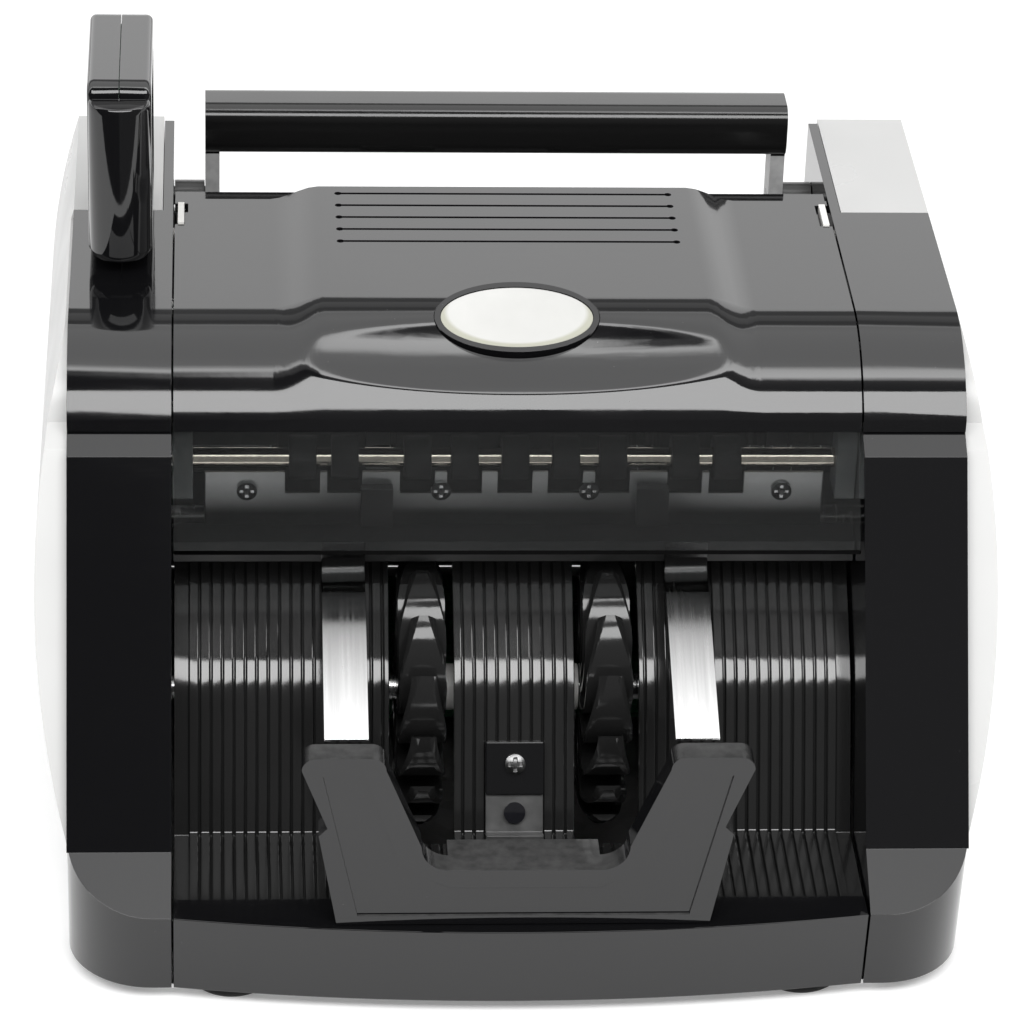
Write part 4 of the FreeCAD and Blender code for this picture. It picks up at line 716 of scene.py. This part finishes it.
def dress_nodes():
    """Give every carried-over node its material and edges, and return the materials by slot."""
    made = {slot: build() for slot, build in MATERIALS.items()}
    special = {node: build() for node, build in SPECIAL.items()}
    smooth = smooth_by_angle()
    for row in frame["record"]["subparts"]:
        name = row["node"]
        piece = frame["nodes"][name]
        piece.data.materials.clear()
        piece.data.materials.append(special.get(name) or made[OTHER_SLOT.get(name, row["material_slot"])])
        soften(piece, EDGES.get(name, EDGE_SMALL), smooth)
    return made


def loft(rings):
    """A closed shape through rings of points, with both ends filled."""
    shape = bmesh.new()
    rows = [[shape.verts.new(point) for point in ring] for ring in rings]
    for near, far in zip(rows, rows[1:]):
        for step in range(-1, len(near) - 1):
            shape.faces.new((near[step], near[step + 1], far[step + 1], far[step]))
    shape.faces.new(rows[0][::-1])
    shape.faces.new(rows[-1])
    bmesh.ops.recalc_face_normals(shape, faces=shape.faces)
    return shape


def settle(name, shape, material, body, place=None):
    """Turn a finished shape into a piece with its material and body, and return its mesh."""
    mesh = bpy.data.meshes.new(name)
    shape.to_mesh(mesh)
    shape.free()
    mesh.materials.append(material)
    piece = bpy.data.objects.new(name, mesh)
    if place is not None:
        piece.matrix_world = place
    scene.collection.objects.link(piece)
    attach(piece, body)
    return mesh


def settle_smooth(name, rings, material, body):
    """A lofted piece that is smooth up to the crease angle."""
    mesh = settle(name, loft(rings), material, body)
    mesh.shade_smooth()
    mesh.set_sharp_from_angle(angle=CREASE_ANGLE)


def make_pod_nose(material):
    """The half-round front of the pod, as rings from its lower to its upper edge."""
    turns = [math.pi * step / NOSE_STEPS for step in range(NOSE_STEPS + 1)]
    rings = [[(NOSE_X - NOSE_HALF * girth * math.cos(turn), NOSE_ROOT_Y - NOSE_REACH * girth * math.sin(turn),
               height) for turn in turns] for height, girth in NOSE_RINGS]
    settle_smooth("pod_nose", rings, material, "pod")


def make_foot_skirts(material):
    """The flared rubber rim of each foot."""
    turns = [2 * math.pi * step / FOOT_STEPS for step in range(FOOT_STEPS)]
    places = [(x, y) for y in (FOOT_FRONT_Y, FOOT_REAR_Y) for x in (-FOOT_X, FOOT_X)]
    for number, (x, y) in enumerate(places):
        rings = [[(x + radius * math.cos(turn), y + radius * math.sin(turn), height) for turn in turns]
                 for radius, height in FOOT_RINGS]
        settle_smooth(f"foot_skirt_{number}", rings, material, "chassis")


def make_vent_shade_sheet(material):
    """A dark pleated sheet inside the rear vents, which keeps daylight out of the case and stands in for the
    shade inside it.
    """
    rings = []
    for step in range(SHADE_SHEET_STEPS + 1):
        x = SHADE_SHEET_LEFT + (SHADE_SHEET_RIGHT - SHADE_SHEET_LEFT) * step / SHADE_SHEET_STEPS
        outer = SHADE_SHEET_Y - SHADE_SHEET_PLEAT * (step % 2)
        inner = outer - SHADE_SHEET_THICK
        rings.append([(x, outer, SHADE_SHEET_LOW), (x, outer, SHADE_SHEET_HIGH), (x, inner, SHADE_SHEET_HIGH),
                      (x, inner, SHADE_SHEET_LOW)])
    # Painted shade: a black sheet behind the vents, where the case shows only shade
    settle_smooth("vent_shade_sheet", rings, material, "chassis")


def screw_point(along, across):
    """A point of a domed, cross-recessed head, by its cells from the middle."""
    u = along / SCREW_CELLS
    v = across / SCREW_CELLS
    x = u * math.sqrt(1 - v * v / 2)
    y = v * math.sqrt(1 - u * u / 2)
    narrow, wide = sorted((abs(along), abs(across)))
    recess = CROSS_DEPTH if narrow <= CROSS_WIDE and wide <= CROSS_LONG else 0
    return x * SCREW_RADIUS, y * SCREW_RADIUS, SCREW_DOME * (1 - x * x - y * y) - recess


def screw_head(name, place, outward, material):
    """A domed head with a cross recess, on the flat end of a screw."""
    shape = bmesh.new()
    cells = range(-SCREW_CELLS, SCREW_CELLS + 1)
    rows = [[shape.verts.new(screw_point(along, across)) for along in cells] for across in cells]
    for low, high in zip(rows, rows[1:]):
        for corners in zip(low, low[1:], high[1:], high):
            shape.faces.new(corners)
    turn = outward.to_track_quat("Z", "Y").to_matrix().to_4x4()
    settle(name, shape, material, "chassis", Matrix.Translation(place) @ turn)


def make_screw_heads():
    """Find the flat ends of the note path's screws and put a head on each."""
    screws = frame["nodes"]["path_screws"]
    corners = [screws.matrix_world @ corner.co for corner in screws.data.vertices]
    corners.sort(key=lambda spot: spot.x)
    clusters = [[corners[0]]]
    for corner in corners[1:]:
        if corner.x - clusters[-1][-1].x > 2 * SCREW_RADIUS:
            clusters.append([])
        clusters[-1].append(corner)
    dark = burnished("screw_black", low=0.05, high=0.11)
    bright = burnished("screw_zinc", low=0.14, high=0.22)
    leaning = Vector((0, -math.sin(SENSOR_LEAN), math.cos(SENSOR_LEAN)))
    forward = Vector((0, -1, 0))
    for number, members in enumerate(clusters):
        middle = sum(members, Vector()) / len(members)
        on_sensor = abs(middle.x) < SCREW_RADIUS
        outward, finish = (leaning, bright) if on_sensor else (forward, dark)
        reach = max((corner - middle).dot(outward) for corner in members)
        screw_head(f"screw_head_{number}", middle + outward * reach, outward, finish)


make_camera()
make_world()
make_floor()
make_soft_box()
finishes = dress_nodes()
make_pod_nose(finishes["gloss_black"])
make_foot_skirts(finishes["rubber"])
make_vent_shade_sheet(finishes["black_plastic"])
make_screw_heads()
